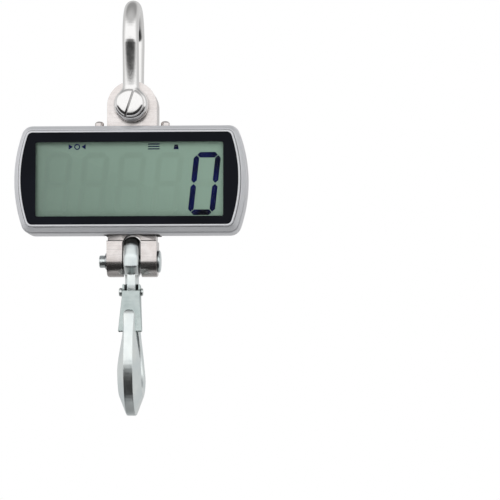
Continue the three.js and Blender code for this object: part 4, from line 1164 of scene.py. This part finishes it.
def hook_body():
    """The forging: from the eye down the back, round the bowl and up to the tip."""
    right, left = OUTER_Y + OUTER_R, OUTER_Y - OUTER_R
    outer_z = BOWL_Z - OUTER_Y
    sole_z = outer_z - OUTER_R
    inner = curve([(-10.6, -8), (-10.6, -14), (-10.6, -20)], 6)[:-1]
    inner += curve([(-10.6, -20), (-10, -32), (1, -42)], 8)[:-1]
    inner += curve([(1, -42), (BOWL_R, -62), (BOWL_R, BOWL_Z)], 16)[:-1]
    inner += arc((0, BOWL_Z), BOWL_R, 0, -math.pi, 40)[:-1]
    inner += curve([(-BOWL_R, BOWL_Z), (-BOWL_R, -62), (-19.6, -46)], 18)
    outer = curve([(18.5, -4), (19.5, -23), (27, -40)], 14)[:-1]
    outer += curve([(27, -40), (right, -64), (right, outer_z)], 16)[:-1]
    for y, z in arc((OUTER_Y, outer_z), OUTER_R, 0, -math.pi, 40)[:-1]:
        outer.append((y, z if y > OUTER_Y else sole_z + (z - sole_z) * LIMB_STRETCH))
    limb_z = sole_z + OUTER_R * LIMB_STRETCH
    outer += curve([(left, limb_z), (left + 0.3, -72), (-31.2, -58), (-28.4, -44.4)], 18)
    # Half widths of the section on its inside, at its belly and on its outside, and the belly's depth
    inner_half = [(0, 3.0), (0.16, 3.0), (0.42, 8.6), (0.76, 8.6), (0.96, 3.8), (1, 3.8)]
    belly_half = [(0, 5.4), (0.16, 5.3), (0.42, 9.6), (0.76, 9.6), (0.96, 5.0), (1, 5.0)]
    outer_half = [(0, 3.6), (0.2, 3.4), (0.5, 3.6), (0.9, 3.5), (1, 4.1)]
    belly = [(0, 0.16), (0.18, 0.16), (0.45, 0.28), (0.8, 0.28), (1, 0.4)]
    rings = []
    for index, (near, far) in enumerate(zip(inner, outer)):
        share = index / (len(inner) - 1)
        rings.append(hook_section(near, far, blend_of(inner_half, share), blend_of(belly_half, share),
                                  blend_of(outer_half, share), blend_of(belly, share)))
    tip = rings[-1]
    centre = Vector(tuple(sum(p[k] for p in tip) / len(tip) for k in range(3)))
    rise = Vector((0, 1.2, 4.6))  # the tip's rounded end
    for step in range(1, 7):
        angle = math.pi / 2 * step / 6
        scale = max(0.08, math.cos(angle))
        rings.append([tuple(centre + (Vector(p) - centre) * scale + rise * math.sin(angle)) for p in tip])
    return loft("forged_hook", rings)


def hook_eye():
    """A crowned eye, upright over the pin and drawn in where it runs down into the neck."""
    crown, steps = 4.8, 22
    upper = arc((0, 0), HOOK_EYE_R, math.radians(-20), math.radians(142), 60)
    front = rounded([(*upper[-1], 0), (-18.0, 3, 14), (-17.6, -6.5, 2), (-8.6, -12.5, 2), (4, -14, 0)],
                    steps=8)
    outline = upper + front[1:]
    rings = []
    for step in range(steps + 1):
        x = -HOOK_EYE_HALF * math.cos(math.pi * step / steps)
        drop = crown * (1 - math.sqrt(1 - (x / (HOOK_EYE_HALF + 0.15)) ** 2))
        shares = [1 - drop / math.hypot(y, z) for y, z in outline]
        rings.append([(x, y * share, z * share) for (y, z), share in zip(outline, shares)])
    return loft("eye", rings)


def add_hook():
    hook = hook_body()
    join(hook, hook_eye())
    remeshed(hook, 0.45, 6)
    cut(hook,
        rod("bore", "x", HOOK_PIN_R + FIT, (-30, 30)),
        rod("rivet_hole", "x", RIVET_R + FIT, (-30, 30), (0, *RIVET), 32))
    finished(hang(hook), "hook", "zinc_steel", ["hook"], 50)


def add_rivet():
    inner = LATCH_TOP_HALF + FIT
    end = span("latch_rivet")[0][1] - HOOK_X
    head = rounded([(0, -end, 0), (3.4, -end, 1.2), (3.4, -inner, 0.4), (RIVET_R, -inner, 0)], steps=5)
    peen = end - 1.2
    peened = rounded([(RIVET_R, inner, 0), (3.1, inner, 0.4), (2.9, peen, 0.8), (0, peen, 0)], steps=5)
    rivet = turned("hinge_rivet", "x", head + peened, (0, *RIVET), 64)
    finished(hang(rivet), "hook", "zinc_steel", ["latch_rivet"])


def latch_solid(name, thinner, reach):
    """The latch's outside, or the hollow inside it."""
    back = thinner * 1.1
    side = [(-11.5 + back, LATCH_TOP_Z + reach), (-18 + back, LATCH_END_Z - reach)]
    if thinner:
        side += [(25, LATCH_END_Z - reach), (25, LATCH_TOP_Z + reach)]
    else:
        side += [(-13, LATCH_END_Z), (1.5, -31)] + curve([(1.5, -31), (3.5, -22), (-1, LATCH_TOP_Z)], 10)[1:]
    top, end = LATCH_TOP_HALF - thinner, LATCH_END_HALF - thinner
    face = [(-end, LATCH_END_Z - reach), (end, LATCH_END_Z - reach), (top, LATCH_FLARE_Z),
            (top, LATCH_TOP_Z + reach), (-top, LATCH_TOP_Z + reach), (-top, LATCH_FLARE_Z)]
    return common(prism(name, "x", side, (-20, 20)), prism("front", "y", face, (-40, 40)))


def add_latch():
    latch = latch_solid("latch_channel", 0, 0)
    bevelled(latch, 1.1, 4, 60)
    notch = rounded([(-9, LATCH_TOP_Z + 5, 0), (-9, RIVET[1] + 1, 2), (-25, RIVET[1] - 2.2, 0),
                     (-25, LATCH_TOP_Z + 5, 0)], steps=5)
    cut(latch,
        latch_solid("inside", LATCH_T, 1),
        prism("notch", "x", notch, (-20, 20)),
        rod("hole", "x", RIVET_R + FIT, (-30, 30), (0, *RIVET), 32))
    finished(hang(latch), "latch", "latch_steel", ["safety_latch"], 30)


def add_spring():
    """A turn and a half of wire round the rivet."""
    wire, coil, steps = 0.12, 3.3, 54
    start, end = 5.15, LATCH_TOP_HALF - LATCH_T - wire - 0.1
    path = [(start, RIVET[0] + coil, RIVET[1] - 5)]
    for step in range(steps + 1):
        angle = TURN * 1.5 * step / steps
        path.append((start + (end - start) * step / steps,
                     RIVET[0] + coil * math.cos(angle), RIVET[1] + coil * math.sin(angle)))
    path.append((end, RIVET[0] - coil, RIVET[1] - 4))
    finished(hang(tube("torsion_spring", path, wire)), "hook", "plain_steel", ["latch_spring"])


add_shackle()
add_shackle_pin()
add_load_cell()
add_bezel()
add_rear_housing()
add_gasket()
add_window()
add_display()
add_top_screws()
add_door()
add_door_screws()
add_power_button()
add_hook_pin()
add_clip()
add_hook()
add_rivet()
add_latch()
add_spring()

for row in frame["record"]["subparts"]:
    node = frame["nodes"][row["node"]]
    if not node.hide_render:
        node.data.materials.clear()
        node.data.materials.append(SLOT_MATERIALS[row["material_slot"]])
